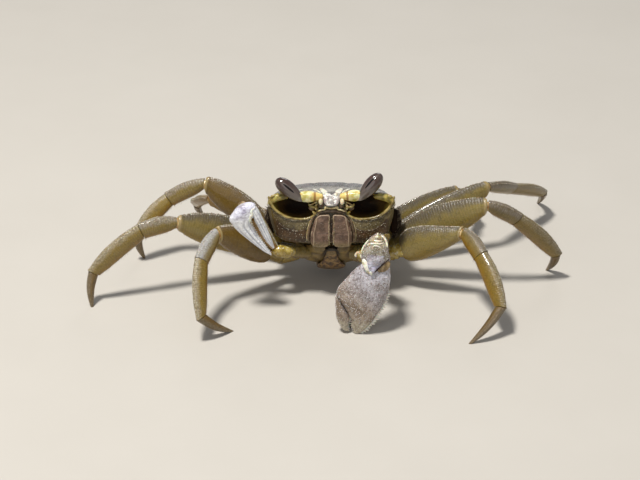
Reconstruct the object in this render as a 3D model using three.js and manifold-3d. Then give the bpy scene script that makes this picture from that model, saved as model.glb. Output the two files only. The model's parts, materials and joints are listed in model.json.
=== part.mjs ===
// Ghost crab, life size, as a still display model: millimetres, +Z up, the crab faces -Y.
// The body is laid out in its own level frame (x to the crab's left, y to its tail, z to its back)
// and is then tipped nose up by PITCH. Legs and claws are laid out in the standing frame, whose
// origin is on the floor under the middle of the body. Left is +X.
import * as THREE from 'three';
import { mergeVertices } from 'three/addons/utils/BufferGeometryUtils.js';
import Module from 'manifold-3d';

const wasm = await Module();
wasm.setup();

// ---------------------------------------------------------------- driving sizes
const PITCH = THREE.MathUtils.degToRad(14.5); // nose-up tilt of the body
const BODY_HEIGHT = 17.1;                     // middle of the body above the floor
const GAP = 0.3;                              // clearance between neighbouring pieces
const HALF_WIDTH = 17.1;                      // carapace, across its widest part
const FRONT = -14.6;                          // front face of the body
const REAR = 16.2;                            // hind edge of the carapace
const ORBIT = { x: 9.8, y: -14.9, z: 5.75, across: 6.1, deep: 5.4, high: 3.6 };
const EYE_RADIUS = 2.05;

const SHELL = { color: 0x8b8478, roughness: 0.45, metalness: 0 };
const FACE = { color: 0x85796a, roughness: 0.45, metalness: 0 };
const BELLY = { color: 0xb0a27a, roughness: 0.5, metalness: 0 };
const LIMB = { color: 0x9a8f55, roughness: 0.35, metalness: 0 };
const NAIL = { color: 0x7d7358, roughness: 0.4, metalness: 0 };
const CLAW = { color: 0xa69b9b, roughness: 0.45, metalness: 0 };
const PALE = { color: 0xd8d4dc, roughness: 0.4, metalness: 0 };
const CORNEA = { color: 0x5d5250, roughness: 0.12, metalness: 0 };
const STALK = { color: 0xb5a95a, roughness: 0.4, metalness: 0 };

// ---------------------------------------------------------------- small helpers
const vec = (x, y, z) => new THREE.Vector3(x, y, z);
const lerp = THREE.MathUtils.lerp;
const along = (from, to, t) => from.clone().lerp(to, t);
const bump = (t) => Math.sin(Math.PI * t);

// A point of the level body frame, placed in the standing frame.
function fromBody(x, y, z) {
  return vec(x, y, z).applyAxisAngle(vec(1, 0, 0), -PITCH).add(vec(0, 0, BODY_HEIGHT));
}

// Smooth curve through evenly spaced values, read at t from 0 to 1.
function smooth(values, t) {
  const place = t * (values.length - 1);
  const i = Math.min(Math.floor(place), values.length - 2);
  const at = (k) => values[Math.max(0, Math.min(values.length - 1, k))];
  const [a, b, c, d] = [at(i - 1), at(i), at(i + 1), at(i + 2)];
  const u = place - i;
  const bend = 2 * a - 5 * b + 4 * c - d;
  return b + 0.5 * u * (c - a + u * (bend + u * (3 * (b - c) + d - a)));
}

// One point of a rounded section: 2 is an ellipse, more is boxier. Width and height are 1.
function rounded(turn, boxiness) {
  const c = Math.cos(turn);
  const s = Math.sin(turn);
  const p = 2 / boxiness;
  return [Math.sign(c) * Math.abs(c) ** p, Math.sign(s) * Math.abs(s) ** p];
}

// A closed skin through a row of rings, with a cap over each end.
function loft(rings) {
  const n = rings[0].length;
  const points = rings.flat();
  const index = [];
  for (let r = 0; r + 1 < rings.length; r += 1) {
    for (let i = 0; i < n; i += 1) {
      const a = r * n + i;
      const b = r * n + (i + 1) % n;
      index.push(a, b, b + n, a, b + n, a + n);
    }
  }
  for (const [start, step] of [[0, -1], [(rings.length - 1) * n, 1]]) {
    const centre = points.slice(start, start + n).reduce((sum, p) => sum.add(p), vec(0, 0, 0));
    points.push(centre.divideScalar(n));
    for (let i = 0; i < n; i += 1) {
      const a = start + i;
      const b = start + (i + 1) % n;
      index.push(...(step > 0 ? [a, b, points.length - 1] : [b, a, points.length - 1]));
    }
  }
  let volume = 0;
  for (let i = 0; i < index.length; i += 3) {
    const [a, b, c] = index.slice(i, i + 3).map((k) => points[k]);
    volume += a.dot(b.clone().cross(c));
  }
  if (volume < 0) index.reverse();
  const geometry = new THREE.BufferGeometry().setFromPoints(points);
  geometry.setIndex(index);
  return geometry;
}

// Cutting and joining of closed skins.
function solid(geometry) {
  const bare = geometry.clone();
  bare.deleteAttribute('normal');
  bare.deleteAttribute('uv');
  const merged = mergeVertices(bare, 1e-4);
  return new wasm.Manifold(new wasm.Mesh({
    numProp: 3,
    vertProperties: new Float32Array(merged.attributes.position.array),
    triVerts: new Uint32Array(merged.index.array),
  }));
}

function skin(manifold) {
  const mesh = manifold.getMesh();
  const geometry = new THREE.BufferGeometry();
  geometry.setAttribute('position', new THREE.BufferAttribute(mesh.vertProperties, 3));
  geometry.setIndex(new THREE.BufferAttribute(mesh.triVerts, 1));
  return geometry;
}

function piece(parent, name, geometry, look) {
  const mesh = new THREE.Mesh(geometry, new THREE.MeshStandardMaterial(look));
  mesh.name = name;
  parent.add(mesh);
}

// ---------------------------------------------------------------- limb segments
// A segment runs from one joint to the next. Its section is deep along the blade direction
// (halfUp and halfDown either side of the axis) and thin across it. Each end lies in a cutting
// plane shared with its neighbour, half a GAP away, so that two segments meet as a mitre. The
// last segment of a leg is cut off level with the floor.
function segment({ from, to, blade, halfUp, halfDown = halfUp, halfThick, startCut, endCut,
  onFloor = false, bow = 0, grow = 0, sides = 10, stations = 7 }) {
  const axis = to.clone().sub(from).normalize();
  const up = blade.clone().addScaledVector(axis, -blade.dot(axis)).normalize();
  const side = axis.clone().cross(up);
  const start = { normal: startCut ?? axis, inset: GAP / 2 };
  const end = onFloor ? { normal: vec(0, 0, -1), inset: 0 }
    : { normal: endCut ?? axis, inset: -GAP / 2 };
  const rings = [];
  for (let k = 0; k < stations; k += 1) {
    const t = k / (stations - 1);
    const cut = t < 0.5 ? start : end;
    const hold = Math.abs(2 * t - 1) ** 3;
    const middle = along(from, to, t).addScaledVector(up, bow * bump(t));
    const ring = [];
    for (let i = 0; i < sides; i += 1) {
      const [c, s] = rounded((2 * Math.PI * (i + 0.5)) / sides, 2.3);
      const offset = up.clone().multiplyScalar(s * (grow + (s > 0 ? halfUp(t) : halfDown(t))));
      offset.addScaledVector(side, c * (halfThick(t) + grow));
      const slide = (cut.inset - offset.dot(cut.normal)) / axis.dot(cut.normal);
      ring.push(middle.clone().add(offset).addScaledVector(axis, hold * slide));
    }
    rings.push(ring);
  }
  return loft(rings);
}

// The plane that parts two segments halves the bend between them.
function mitre(before, joint, after) {
  const incoming = joint.clone().sub(before).normalize();
  const outgoing = after.clone().sub(joint).normalize();
  return incoming.add(outgoing).normalize();
}

// ---------------------------------------------------------------- body shell
// The shell is a blunt box: each station along the body has a half width, a seam height where
// the upper shell meets the lower one, a top and a bottom.
const bodyY = (t) => lerp(FRONT, REAR, t);
const seam = (t) => lerp(5.5, 0.8, t);
const halfWidth = (t) => HALF_WIDTH * smooth([0.97, 1, 1.02, 1.01, 0.98, 0.9, 0.76, 0.55], t);
const topHeight = (t) => smooth([9.1, 9.4, 9.5, 9.3, 8.8, 7.8, 6.0, 2.9], t);
const bottomDepth = (t) => smooth([-4.2, -5.3, -5.4, -5.2, -4.7, -3.9, -2.7, -0.9], t);
const boxyTop = (t) => smooth([9, 3.4, 2.5, 2.4, 2.4, 2.4, 2.5], t);
const boxyBottom = (t) => smooth([4.5, 4, 3.4, 3, 2.8, 2.6, 2.6], t);
const STATIONS = [0, 0.015, 0.05, 0.11, 0.2, 0.32, 0.45, 0.58, 0.7, 0.8, 0.88, 0.95, 1];

function halfShell(edge, boxiness, sign) {
  const arc = 14;
  const rings = STATIONS.map((t, k) => {
    const round = [0.95, 0.985][k] ?? 1;
    const half = halfWidth(t) * round;
    const base = seam(t) + sign * GAP / 2;
    const ring = [];
    for (let i = 0; i <= arc; i += 1) {
      const [c, s] = rounded((Math.PI * i) / arc, boxiness(t));
      ring.push(fromBody(half * c, bodyY(t), base + s * round * (edge(t) - base)));
    }
    for (const share of [-0.5, 0, 0.5]) ring.push(fromBody(half * share, bodyY(t), base));
    return ring;
  });
  return solid(loft(rings));
}

// Both eye sockets, as one tool that hollows the upper and the lower shell.
function orbitTool(side) {
  const ball = new THREE.SphereGeometry(1, 18, 10);
  const spot = ball.attributes.position;
  for (let i = 0; i < spot.count; i += 1) {
    const p = fromBody(side * ORBIT.x + spot.getX(i) * ORBIT.across,
      ORBIT.y + spot.getY(i) * ORBIT.deep, ORBIT.z + spot.getZ(i) * ORBIT.high);
    spot.setXYZ(i, p.x, p.y, p.z);
  }
  return solid(ball);
}

function rostrum() {
  const path = [[-10.5, 8.6, 3.4, 1.6], [-13.6, 9.2, 3.0, 1.1], [-15.6, 8.6, 2.5, 0.9],
    [-16.3, 7.3, 2.6, 0.8], [-16.4, 6.1, 2.0, 0.6]];
  const rings = path.map(([y, z, half, thick], k) => {
    const tilt = smooth([0.1, 0.1, 0.9, 1.45, 1.5], k / (path.length - 1));
    const ring = [];
    for (let i = 0; i < 10; i += 1) {
      const [c, s] = rounded((2 * Math.PI * i) / 10, 2.6);
      ring.push(fromBody(half * c, y - s * thick * Math.sin(tilt), z + s * thick * Math.cos(tilt)));
    }
    return ring;
  });
  return solid(loft(rings));
}

// ---------------------------------------------------------------- underside
// The breastplate hangs under the lower shell; the tail flap lies folded against it.
const breastY = (t) => lerp(-12.8, 14.4, t);
const breastHalf = (t) => smooth([5.2, 8.4, 9.9, 10.2, 10.0, 9.2, 7.4, 5.0], t);
const breastDepth = (t) => smooth([-7.6, -10.6, -12.2, -12.6, -12.4, -11.4, -9.0, -5.4], t);

function breastplate() {
  const arc = 12;
  const rings = [];
  for (let k = 0; k <= 10; k += 1) {
    const t = k / 10;
    const roof = bottomDepth((breastY(t) - FRONT) / (REAR - FRONT)) - GAP - 0.1;
    const ring = [];
    for (let i = 0; i <= arc; i += 1) {
      const [c, s] = rounded((Math.PI * i) / arc, 2.7);
      ring.push(fromBody(breastHalf(t) * c, breastY(t), lerp(roof, breastDepth(t), s)));
    }
    for (const share of [-0.5, 0, 0.5]) ring.push(fromBody(breastHalf(t) * share, breastY(t), roof));
    rings.push(ring);
  }
  return solid(loft(rings));
}

function tailFlap() {
  const thick = 1.2;
  const rings = [];
  for (let k = 0; k <= 8; k += 1) {
    const t = k / 8;
    const y = lerp(-9.6, 14.2, t);
    const half = smooth([1.0, 2.6, 3.4, 4.0, 4.6, 5.6, 6.2, 5.6], t);
    const top = breastDepth((y - breastY(0)) / (breastY(1) - breastY(0))) - GAP;
    const ring = [];
    for (let i = 0; i < 10; i += 1) {
      const [c, s] = rounded((2 * Math.PI * i) / 10, 2.8);
      ring.push(fromBody(half * c, y, top - thick / 2 + s * thick / 2));
    }
    rings.push(ring);
  }
  return loft(rings);
}

// ---------------------------------------------------------------- mouth plates and eyes
function mouthPlate(side) {
  const rings = [];
  for (let k = 0; k <= 8; k += 1) {
    const t = k / 8;
    const z = lerp(3.3, -5.6, t);
    const outer = smooth([4.6, 6.1, 6.5, 6.6, 6.5, 6.2, 4.4], t);
    const inner = smooth([0.5, 0.2, 0.2, 0.2, 0.2, 0.3, 0.9], t);
    const face = FRONT - 0.95 + smooth([0.1, 0, -0.1, -0.2, -0.1, 0.1, 0.2], t);
    const ring = [];
    for (let i = 0; i < 10; i += 1) {
      const [c, s] = rounded((2 * Math.PI * i) / 10, 2.8);
      const x = (outer + inner) / 2 + (c * (outer - inner)) / 2;
      ring.push(fromBody(side * x, face + s * 0.6, z));
    }
    rings.push(ring);
  }
  return loft(rings);
}

function spindle(from, to, halfAt, sides, stations) {
  const blade = vec(0, 0, 1);
  return segment({ from, to, blade, halfUp: halfAt, halfThick: halfAt, sides, stations });
}

function eyeball(inner, outer) {
  const axis = outer.clone().sub(inner);
  const ball = new THREE.SphereGeometry(1, 14, 10);
  ball.scale(EYE_RADIUS, axis.length() / 2, EYE_RADIUS);
  ball.applyQuaternion(new THREE.Quaternion().setFromUnitVectors(vec(0, 1, 0), axis.normalize()));
  const middle = along(inner, outer, 0.5);
  ball.translate(middle.x, middle.y, middle.z);
  return skin(solid(ball));
}

// ---------------------------------------------------------------- flat claw pieces
// A claw piece is a pillow between two rails. Each row of rails gives the left rail (a, b), the
// right rail (a, b) and the thickness, where a runs from the wrist to the tips and b across.
function clawFrame(wrist, along3, across3) {
  const a = along3.clone().normalize();
  const b = across3.clone().addScaledVector(a, -across3.dot(a)).normalize();
  return { wrist, a, b, n: b.clone().cross(a) };
}

function pillow(frame, rails, { sides = 12, stations = 11, onFloor = false } = {}) {
  const rings = [];
  for (let k = 0; k < stations; k += 1) {
    const t = k / (stations - 1);
    const [la, lb, ra, rb, thick] = [0, 1, 2, 3, 4].map((c) => smooth(rails.map((r) => r[c]), t));
    const ring = [];
    for (let i = 0; i < sides; i += 1) {
      const [c, s] = rounded((2 * Math.PI * (i + 0.5)) / sides, 2.4);
      const point = frame.wrist.clone();
      point.addScaledVector(frame.a, lerp(ra, la, (1 + c) / 2));
      point.addScaledVector(frame.b, lerp(rb, lb, (1 + c) / 2));
      point.addScaledVector(frame.n, (s * thick) / 2);
      if (onFloor && k === stations - 1) point.addScaledVector(frame.a, -point.z / frame.a.z);
      ring.push(point);
    }
    rings.push(ring);
  }
  return loft(rings);
}

// ---------------------------------------------------------------- legs
// Root of each leg on the breastplate and end of its short base, in the body frame (left side).
const ROOTS = {
  leg1: { socket: [8.4, -4.8, -9.6], hip: [14.2, -5.2, -10.2] },
  leg2: { socket: [8.8, 0.3, -9.8], hip: [14.6, 0.2, -9.7] },
  leg3: { socket: [8.6, 5.4, -9.4], hip: [14.0, 5.6, -8.7] },
  leg4: { socket: [7.0, 9.8, -8.0], hip: [12.0, 10.4, -7.1] },
};

// Depth of the blade of each segment and its thickness.
const GIRTH = {
  leg1: { merus: 9.0, carpus: 4.8, propodus: 5.2, dactyl: 2.6, thick: 3.4, swellAt: 0.46 },
  leg2: { merus: 9.8, carpus: 5.2, propodus: 5.8, dactyl: 2.7, thick: 3.5, swellAt: 0.54 },
  leg3: { merus: 8.4, carpus: 4.8, propodus: 5.0, dactyl: 2.4, thick: 3.1, swellAt: 0.6 },
  leg4: { merus: 6.2, carpus: 3.6, propodus: 3.6, dactyl: 1.9, thick: 2.5, swellAt: 0.55 },
};

// Where the knee, wrist, ankle and foot of each leg stand.
const STANCE = {
  leg1_right: [[-31.2, -19.5, 22.0], [-35.0, -28.5, 18.3], [-34.8, -39.0, 6.8], [-26.9, -34.5, 0]],
  leg2_right: [[-42.4, -11.0, 20.9], [-52.0, -14.0, 19.8], [-65.3, -17.0, 8.4], [-65.6, -21.0, 0]],
  leg3_right: [[-35.4, 9.0, 22.9], [-45.7, 10.0, 17.3], [-54.4, 5.0, 8.5], [-53.0, 7.1, 0]],
  leg4_right: [[-34.5, 14.0, 15.5], [-37.8, 19.0, 12.0], [-38.8, 26.5, 7.0], [-36.5, 31.0, 0]],
  leg1_left: [[36.1, -15.5, 20.2], [40.4, -24.0, 17.4], [45.3, -36.0, 8.1], [37.1, -40.9, 0]],
  leg2_left: [[42.9, -9.0, 25.2], [51.1, -8.0, 20.4], [62.6, -5.0, 7.8], [60.8, 0.0, 0]],
  leg3_left: [[44.3, 12.0, 20.3], [51.9, 21.0, 15.1], [61.9, 32.0, 8.1], [61.5, 41.4, 0]],
  leg4_left: [[35.9, 15.0, 17.3], [38.5, 21.0, 12.1], [41.3, 28.0, 6.2], [40.7, 34.9, 0]],
};

function legBase(socket, hip, knee, grow = 0) {
  const half = (t) => lerp(2.1, 2.3, t);
  return segment({ from: socket, to: hip, blade: vec(0, 0, 1), halfUp: half,
    halfThick: (t) => lerp(2.0, 1.7, t), endCut: mitre(socket, hip, knee), grow, sides: 8,
    stations: 3 });
}

function addLeg(group, name, socket, hip, girth, stance) {
  const [knee, wrist, ankle, foot] = stance.map((p) => vec(...p));
  const fold = knee.clone().sub(hip).cross(foot.clone().sub(hip)).normalize();
  const bladeOf = (from, to) => fold.clone().cross(to.clone().sub(from));
  const cuts = [mitre(socket, hip, knee), mitre(hip, knee, wrist), mitre(knee, wrist, ankle),
    mitre(wrist, ankle, foot)];
  const upright = vec(0, 0.2, 1);
  const belly = (t) => bump(t ** (Math.log(0.5) / Math.log(girth.swellAt))) ** 0.8;
  piece(group, `${name}_base`, legBase(socket, hip, knee), LIMB);
  piece(group, `${name}_merus`, segment({ from: hip, to: knee, blade: upright,
    halfUp: (t) => lerp(2.0, 1.5, t) + (girth.merus / 2 - 1.1) * belly(t),
    halfDown: (t) => lerp(2.0, 1.6, t) + (girth.merus / 2 - 2.5) * belly(t),
    halfThick: (t) => girth.thick * (0.38 + 0.14 * bump(t)),
    startCut: cuts[0], endCut: cuts[1], stations: 8 }), LIMB);
  piece(group, `${name}_carpus`, segment({ from: knee, to: wrist, blade: bladeOf(knee, wrist),
    halfUp: (t) => lerp(1.5, 2.1, t) + (girth.carpus / 2 - 1.6) * bump(t),
    halfThick: (t) => girth.thick * (0.36 + 0.08 * bump(t)),
    startCut: cuts[1], endCut: cuts[2], stations: 5 }), LIMB);
  piece(group, `${name}_propodus`, segment({ from: wrist, to: ankle,
    blade: bladeOf(wrist, ankle),
    halfUp: (t) => lerp(1.8, 1.3, t) + (girth.propodus / 2 - 1.5) * bump(t),
    halfThick: (t) => girth.thick * (lerp(0.36, 0.26, t) + 0.08 * bump(t)),
    startCut: cuts[2], endCut: cuts[3], bow: 0.5 }), LIMB);
  piece(group, `${name}_dactyl`, segment({ from: ankle, to: foot, blade: bladeOf(ankle, foot),
    halfUp: (t) => lerp(girth.dactyl / 2, 0.4, t),
    halfThick: (t) => lerp(girth.thick * 0.26, 0.4, t),
    startCut: cuts[3], onFloor: true, bow: 0.6, sides: 8, stations: 6 }), NAIL);
}

// ---------------------------------------------------------------- assembly
const crab = new THREE.Group();
const orbits = orbitTool(1).add(orbitTool(-1));

piece(crab, 'carapace', skin(halfShell(topHeight, boxyTop, 1).add(rostrum()).subtract(orbits)), SHELL);
piece(crab, 'lower_shell', skin(halfShell(bottomDepth, boxyBottom, -1).subtract(orbits)), FACE);

let breast = breastplate();
const SIDES = { right: -1, left: 1 };
const CLAW_SOCKET = [5.6, -9.6, -8.0];
const CLAW_STANCE = {
  right: { hip: [-12.4, -16.8, 12.4], elbow: [-22.2, -16.2, 26.2] },
  left: { hip: [11.2, -15.4, 12.6], elbow: [13.4, -23.8, 22.6] },
};

for (const [sideName, sign] of Object.entries(SIDES)) {
  for (const [leg, root] of Object.entries(ROOTS)) {
    const place = ([x, y, z]) => fromBody(sign * x, y, z);
    const [socket, hip] = [place(root.socket), place(root.hip)];
    const stance = STANCE[`${leg}_${sideName}`];
    addLeg(crab, `${leg}_${sideName}`, socket, hip, GIRTH[leg], stance);
    breast = breast.subtract(solid(legBase(socket, hip, vec(...stance[0]), GAP)));
  }
}

// Clawed limbs: the left one is the large one and hangs to the floor, the right one is folded.
const CLAWS = {
  left: {
    ...CLAW_STANCE.left, girth: 1.15, hinge: [0.05, 0, 0], hingeFaces: 'a',
    frame: clawFrame(vec(10.5, -32.0, 18.7), vec(-0.24, -0.17, -0.96), vec(-0.97, 0.12, 0.22)),
    palm: [[0.2, 2.4, 0.2, -3.4, 3.4], [2.6, 4.6, 2.2, -5.5, 5.2], [6.0, 5.8, 5.6, -6.4, 6.0],
      [9.0, 6.7, 9.0, -6.1, 5.8], [12.3, 1.9, 12.2, -5.2, 4.6], [15.4, 0.9, 15.0, -4.2, 3.6],
      [17.6, 0.4, 17.4, -3.2, 2.6], [19.4, -0.3, 19.0, -2.1, 1.3]],
    finger: [[9.9, 6.7, 12.6, 2.4, 4.2], [13.2, 6.4, 13.9, 1.9, 3.8], [16.3, 5.3, 16.2, 1.5, 3.0],
      [18.4, 4.0, 18.2, 1.3, 2.1], [20.0, 2.6, 19.8, 1.2, 1.2]],
    onFloor: true, look: CLAW,
  },
  right: {
    ...CLAW_STANCE.right, girth: 0.9, hinge: [0.4, 0.4, -2.35], hingeFaces: 'n',
    frame: clawFrame(vec(-23.7, -22.0, 31.6), vec(0.47, -0.03, -0.88), vec(-0.88, -0.1, -0.47)),
    palm: [[-1.2, 1.8, -1.0, -1.2, 2.6], [1.2, 4.7, 0.6, -2.7, 3.8], [3.0, 4.9, 2.5, -2.9, 3.8],
      [5.1, 4.4, 4.2, -0.5, 3.4], [9.3, 3.0, 9.5, -0.1, 2.6], [13.3, 1.6, 13.3, 0.1, 1.7],
      [16.2, 0.6, 16.0, 0.0, 0.8]],
    finger: [[4.4, -0.9, 3.1, -3.2, 3.2], [6.0, -0.85, 5.4, -2.9, 2.9], [9.8, -0.5, 9.4, -2.3, 2.2],
      [13.0, -0.3, 13.0, -1.7, 1.5], [15.2, -0.3, 15.1, -0.9, 0.7]],
    onFloor: false, look: PALE,
  },
};

function clawBase(socket, hip, elbow, grow = 0) {
  return segment({ from: socket, to: hip, blade: vec(0, 0, 1), halfUp: (t) => lerp(2.1, 1.9, t),
    halfThick: (t) => lerp(2.1, 1.9, t), endCut: mitre(socket, hip, elbow), grow, sides: 8,
    stations: 4 });
}

for (const [sideName, sign] of Object.entries(SIDES)) {
  const { hip, elbow, girth, hinge, hingeFaces, frame, palm, finger, onFloor, look } =
    CLAWS[sideName];
  const [x, y, z] = CLAW_SOCKET;
  const [socket, hip3, elbow3] = [fromBody(sign * x, y, z), vec(...hip), vec(...elbow)];
  const wrist = frame.wrist.clone().addScaledVector(frame.a, hinge[0]);
  wrist.addScaledVector(frame.b, hinge[1]).addScaledVector(frame.n, hinge[2]);
  const elbowCut = mitre(hip3, elbow3, wrist);
  piece(crab, `claw_${sideName}_base`, clawBase(socket, hip3, elbow3), LIMB);
  breast = breast.subtract(solid(clawBase(socket, hip3, elbow3, GAP)));
  piece(crab, `claw_${sideName}_merus`, segment({ from: hip3, to: elbow3, blade: vec(0, 0.2, 1),
    halfUp: (t) => girth * (lerp(1.8, 1.9, t) + 0.7 * bump(t)),
    halfThick: (t) => girth * (lerp(1.6, 1.8, t) + 0.3 * bump(t)),
    startCut: mitre(socket, hip3, elbow3), endCut: elbowCut, stations: 7 }), LIMB);
  piece(crab, `claw_${sideName}_carpus`, segment({ from: elbow3, to: wrist,
    blade: onFloor ? frame.n : frame.a,
    halfUp: (t) => girth * (lerp(2.0, 1.4, t) + 1.1 * bump(t)),
    halfThick: (t) => girth * (lerp(2.1, 2.6, t) + 1.4 * bump(t)),
    startCut: elbowCut, endCut: frame[hingeFaces], stations: 7 }), onFloor ? CLAW : LIMB);
  piece(crab, `claw_${sideName}_palm`, pillow(frame, palm, { stations: 12, onFloor }), look);
  piece(crab, `claw_${sideName}_finger`, pillow(frame, finger, { sides: 8, stations: 8, onFloor }),
    look);
}

piece(crab, 'breastplate', skin(breast), BELLY);
piece(crab, 'tail_flap', tailFlap(), BELLY);

const EYES = {
  right: { inner: [-8.4, -16.2, 8.5], outer: [-14.9, -15.6, 13.8] },
  left: { inner: [7.9, -16.2, 8.8], outer: [13.5, -15.4, 15.2] },
};
for (const [sideName, sign] of Object.entries(SIDES)) {
  const inner = fromBody(...EYES[sideName].inner);
  const outer = fromBody(...EYES[sideName].outer);
  const root = fromBody(sign * 3.1, -15.9, 8.2);
  const end = inner.clone().add(vec(-sign * 0.1, 0, 0));
  piece(crab, `mouth_plate_${sideName}`, mouthPlate(sign), FACE);
  piece(crab, `eyestalk_${sideName}`,
    spindle(root, end, (t) => lerp(1.1, 1.0, t) + 0.3 * bump(t), 8, 4), STALK);
  piece(crab, `eye_${sideName}`, eyeball(inner, outer), CORNEA);
}

// The origin is at the bottom middle of the bounding box.
crab.updateMatrixWorld(true);
const box = new THREE.Box3().setFromObject(crab, true);
const middle = box.getCenter(vec(0, 0, 0));
crab.position.set(-middle.x, -middle.y, -box.min.z);

const group = new THREE.Group();
group.add(crab);
export default group;
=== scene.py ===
import itertools
import json
import math

import bmesh
import bpy
import numpy as np
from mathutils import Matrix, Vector, noise

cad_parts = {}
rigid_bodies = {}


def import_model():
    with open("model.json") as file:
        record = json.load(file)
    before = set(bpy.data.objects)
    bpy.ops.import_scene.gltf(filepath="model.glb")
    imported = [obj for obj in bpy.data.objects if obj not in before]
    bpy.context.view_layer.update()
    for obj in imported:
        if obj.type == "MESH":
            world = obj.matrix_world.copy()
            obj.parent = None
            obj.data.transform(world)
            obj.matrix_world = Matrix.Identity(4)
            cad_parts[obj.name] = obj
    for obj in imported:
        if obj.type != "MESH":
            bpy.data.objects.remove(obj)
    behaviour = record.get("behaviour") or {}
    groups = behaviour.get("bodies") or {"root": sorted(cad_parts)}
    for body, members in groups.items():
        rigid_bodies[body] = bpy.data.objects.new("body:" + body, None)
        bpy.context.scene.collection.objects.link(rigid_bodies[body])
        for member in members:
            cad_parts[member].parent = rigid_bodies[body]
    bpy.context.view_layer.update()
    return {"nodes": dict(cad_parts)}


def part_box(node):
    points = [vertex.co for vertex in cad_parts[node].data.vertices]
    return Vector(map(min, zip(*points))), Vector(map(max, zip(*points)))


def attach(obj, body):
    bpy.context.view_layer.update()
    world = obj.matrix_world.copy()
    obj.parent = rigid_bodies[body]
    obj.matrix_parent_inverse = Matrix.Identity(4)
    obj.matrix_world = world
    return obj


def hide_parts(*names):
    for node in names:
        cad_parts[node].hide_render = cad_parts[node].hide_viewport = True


for leftover in list(bpy.data.objects):
    bpy.data.objects.remove(leftover)
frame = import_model()
scene = bpy.context.scene
MM = 0.001


def stand(name, data):
    """A new object in the scene."""
    piece = bpy.data.objects.new(name, data)
    scene.collection.objects.link(piece)
    return piece


# ------------------------------------------------------------------ camera, floor and light
# The crab stands on a plain pale floor. The camera looks down at it from in front, from about
# an arm's length, and a broad soft lamp above stands in for a high sun.
def level(x, y, z):
    """A point in millimetres from the floor under the middle of the crab's body."""
    return Vector((under_body.x + x * MM, under_body.y + y * MM, z * MM))


MIDDLE_BEHIND_BEAK = 14.9
shell_low, shell_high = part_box("carapace")
under_body = Vector(((shell_low.x + shell_high.x) / 2, shell_low.y + MIDDLE_BEHIND_BEAK * MM, 0))

LOOK_DOWN = math.radians(28)
CAMERA_DISTANCE = 700.0
CAMERA_ASIDE = -3.1
CAMERA_RAISE = 8.45
SENSOR_WIDTH = 36.0
VIEW_WIDTH = 180.3

camera_data = bpy.data.cameras.new("camera")
camera_data.sensor_width = SENSOR_WIDTH
camera_data.lens = SENSOR_WIDTH * CAMERA_DISTANCE / VIEW_WIDTH
camera_data.clip_start = 0.01
camera = stand("camera", camera_data)
camera.location = level(
    CAMERA_ASIDE,
    -CAMERA_DISTANCE * math.cos(LOOK_DOWN) + CAMERA_RAISE * math.sin(LOOK_DOWN),
    CAMERA_DISTANCE * math.sin(LOOK_DOWN) + CAMERA_RAISE * math.cos(LOOK_DOWN))
camera.rotation_euler = (math.pi / 2 - LOOK_DOWN, 0, 0)
scene.camera = camera


def lamp(name, size, power, place, target, tint=(1, 1, 1)):
    data = bpy.data.lights.new(name, "AREA")
    data.shape = "DISK"
    data.size = size
    data.energy = power
    data.color = tint
    piece = stand(name, data)
    piece.location = place
    piece.rotation_euler = (Vector(target) - Vector(place)).to_track_quat("-Z", "Y").to_euler()


lamp("key", 0.13, 6.6, (-0.18, -0.14, 0.77), (0, 0, 0.01), (1, 0.97, 0.92))
lamp("fill", 0.9, 1.5, (-0.2, -1.0, 0.5), (0, 0, 0.02), (0.92, 0.96, 1))
lamp("rim", 0.5, 1.2, (0.2, 0.9, 0.6), (0, 0, 0.02))

world = bpy.data.worlds.new("studio")
world.use_nodes = True
world.node_tree.nodes["Background"].inputs["Color"].default_value = (0.86, 0.88, 0.92, 1)
world.node_tree.nodes["Background"].inputs["Strength"].default_value = 0.28
scene.world = world
scene.view_settings.view_transform = "Standard"


def arithmetic(operation, swapped=False):
    """A sum on a Value: it adds one Math node to the Value's tree."""
    def method(self, other):
        first, second = (other, self) if swapped else (self, other)
        return self.graph.node("ShaderNodeMath", {0: first, 1: second}, operation=operation)
    return method


class Value:
    """One output of a node."""

    def __init__(self, graph, socket):
        self.graph = graph
        self.socket = socket

    def __getitem__(self, name):
        """Another output of the same node."""
        return Value(self.graph, self.socket.node.outputs[name])

    __add__ = __radd__ = arithmetic("ADD")
    __mul__ = __rmul__ = arithmetic("MULTIPLY")
    __sub__ = arithmetic("SUBTRACT")
    __rsub__ = arithmetic("SUBTRACT", swapped=True)
    __truediv__ = arithmetic("DIVIDE")
    __pow__ = arithmetic("POWER")

    def step(self, low, high):
        """0 below low, 1 above high, smooth between."""
        return self.graph.node("ShaderNodeMapRange",
                               {"Value": self, "From Min": low, "From Max": high},
                               interpolation_type="SMOOTHSTEP")

    def mix(self, first, second):
        """The first colour where this is 0, the second where it is 1."""
        return self.graph.node("ShaderNodeMix", {0: self, 6: first, 7: second}, 2,
                               data_type="RGBA")


class Graph:
    """A node tree under construction."""

    def node(self, kind, sockets=None, out=0, **settings):
        made = self.tree.nodes.new(kind)
        for name, value in settings.items():
            setattr(made, name, value)
        for name, value in (sockets or {}).items():
            socket = made.inputs[name]
            if isinstance(value, Value):
                self.tree.links.new(value.socket, socket)
            else:
                socket.default_value = (*value, 1) if socket.type == "RGBA" else value
        return Value(self, made.outputs[out])


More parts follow.
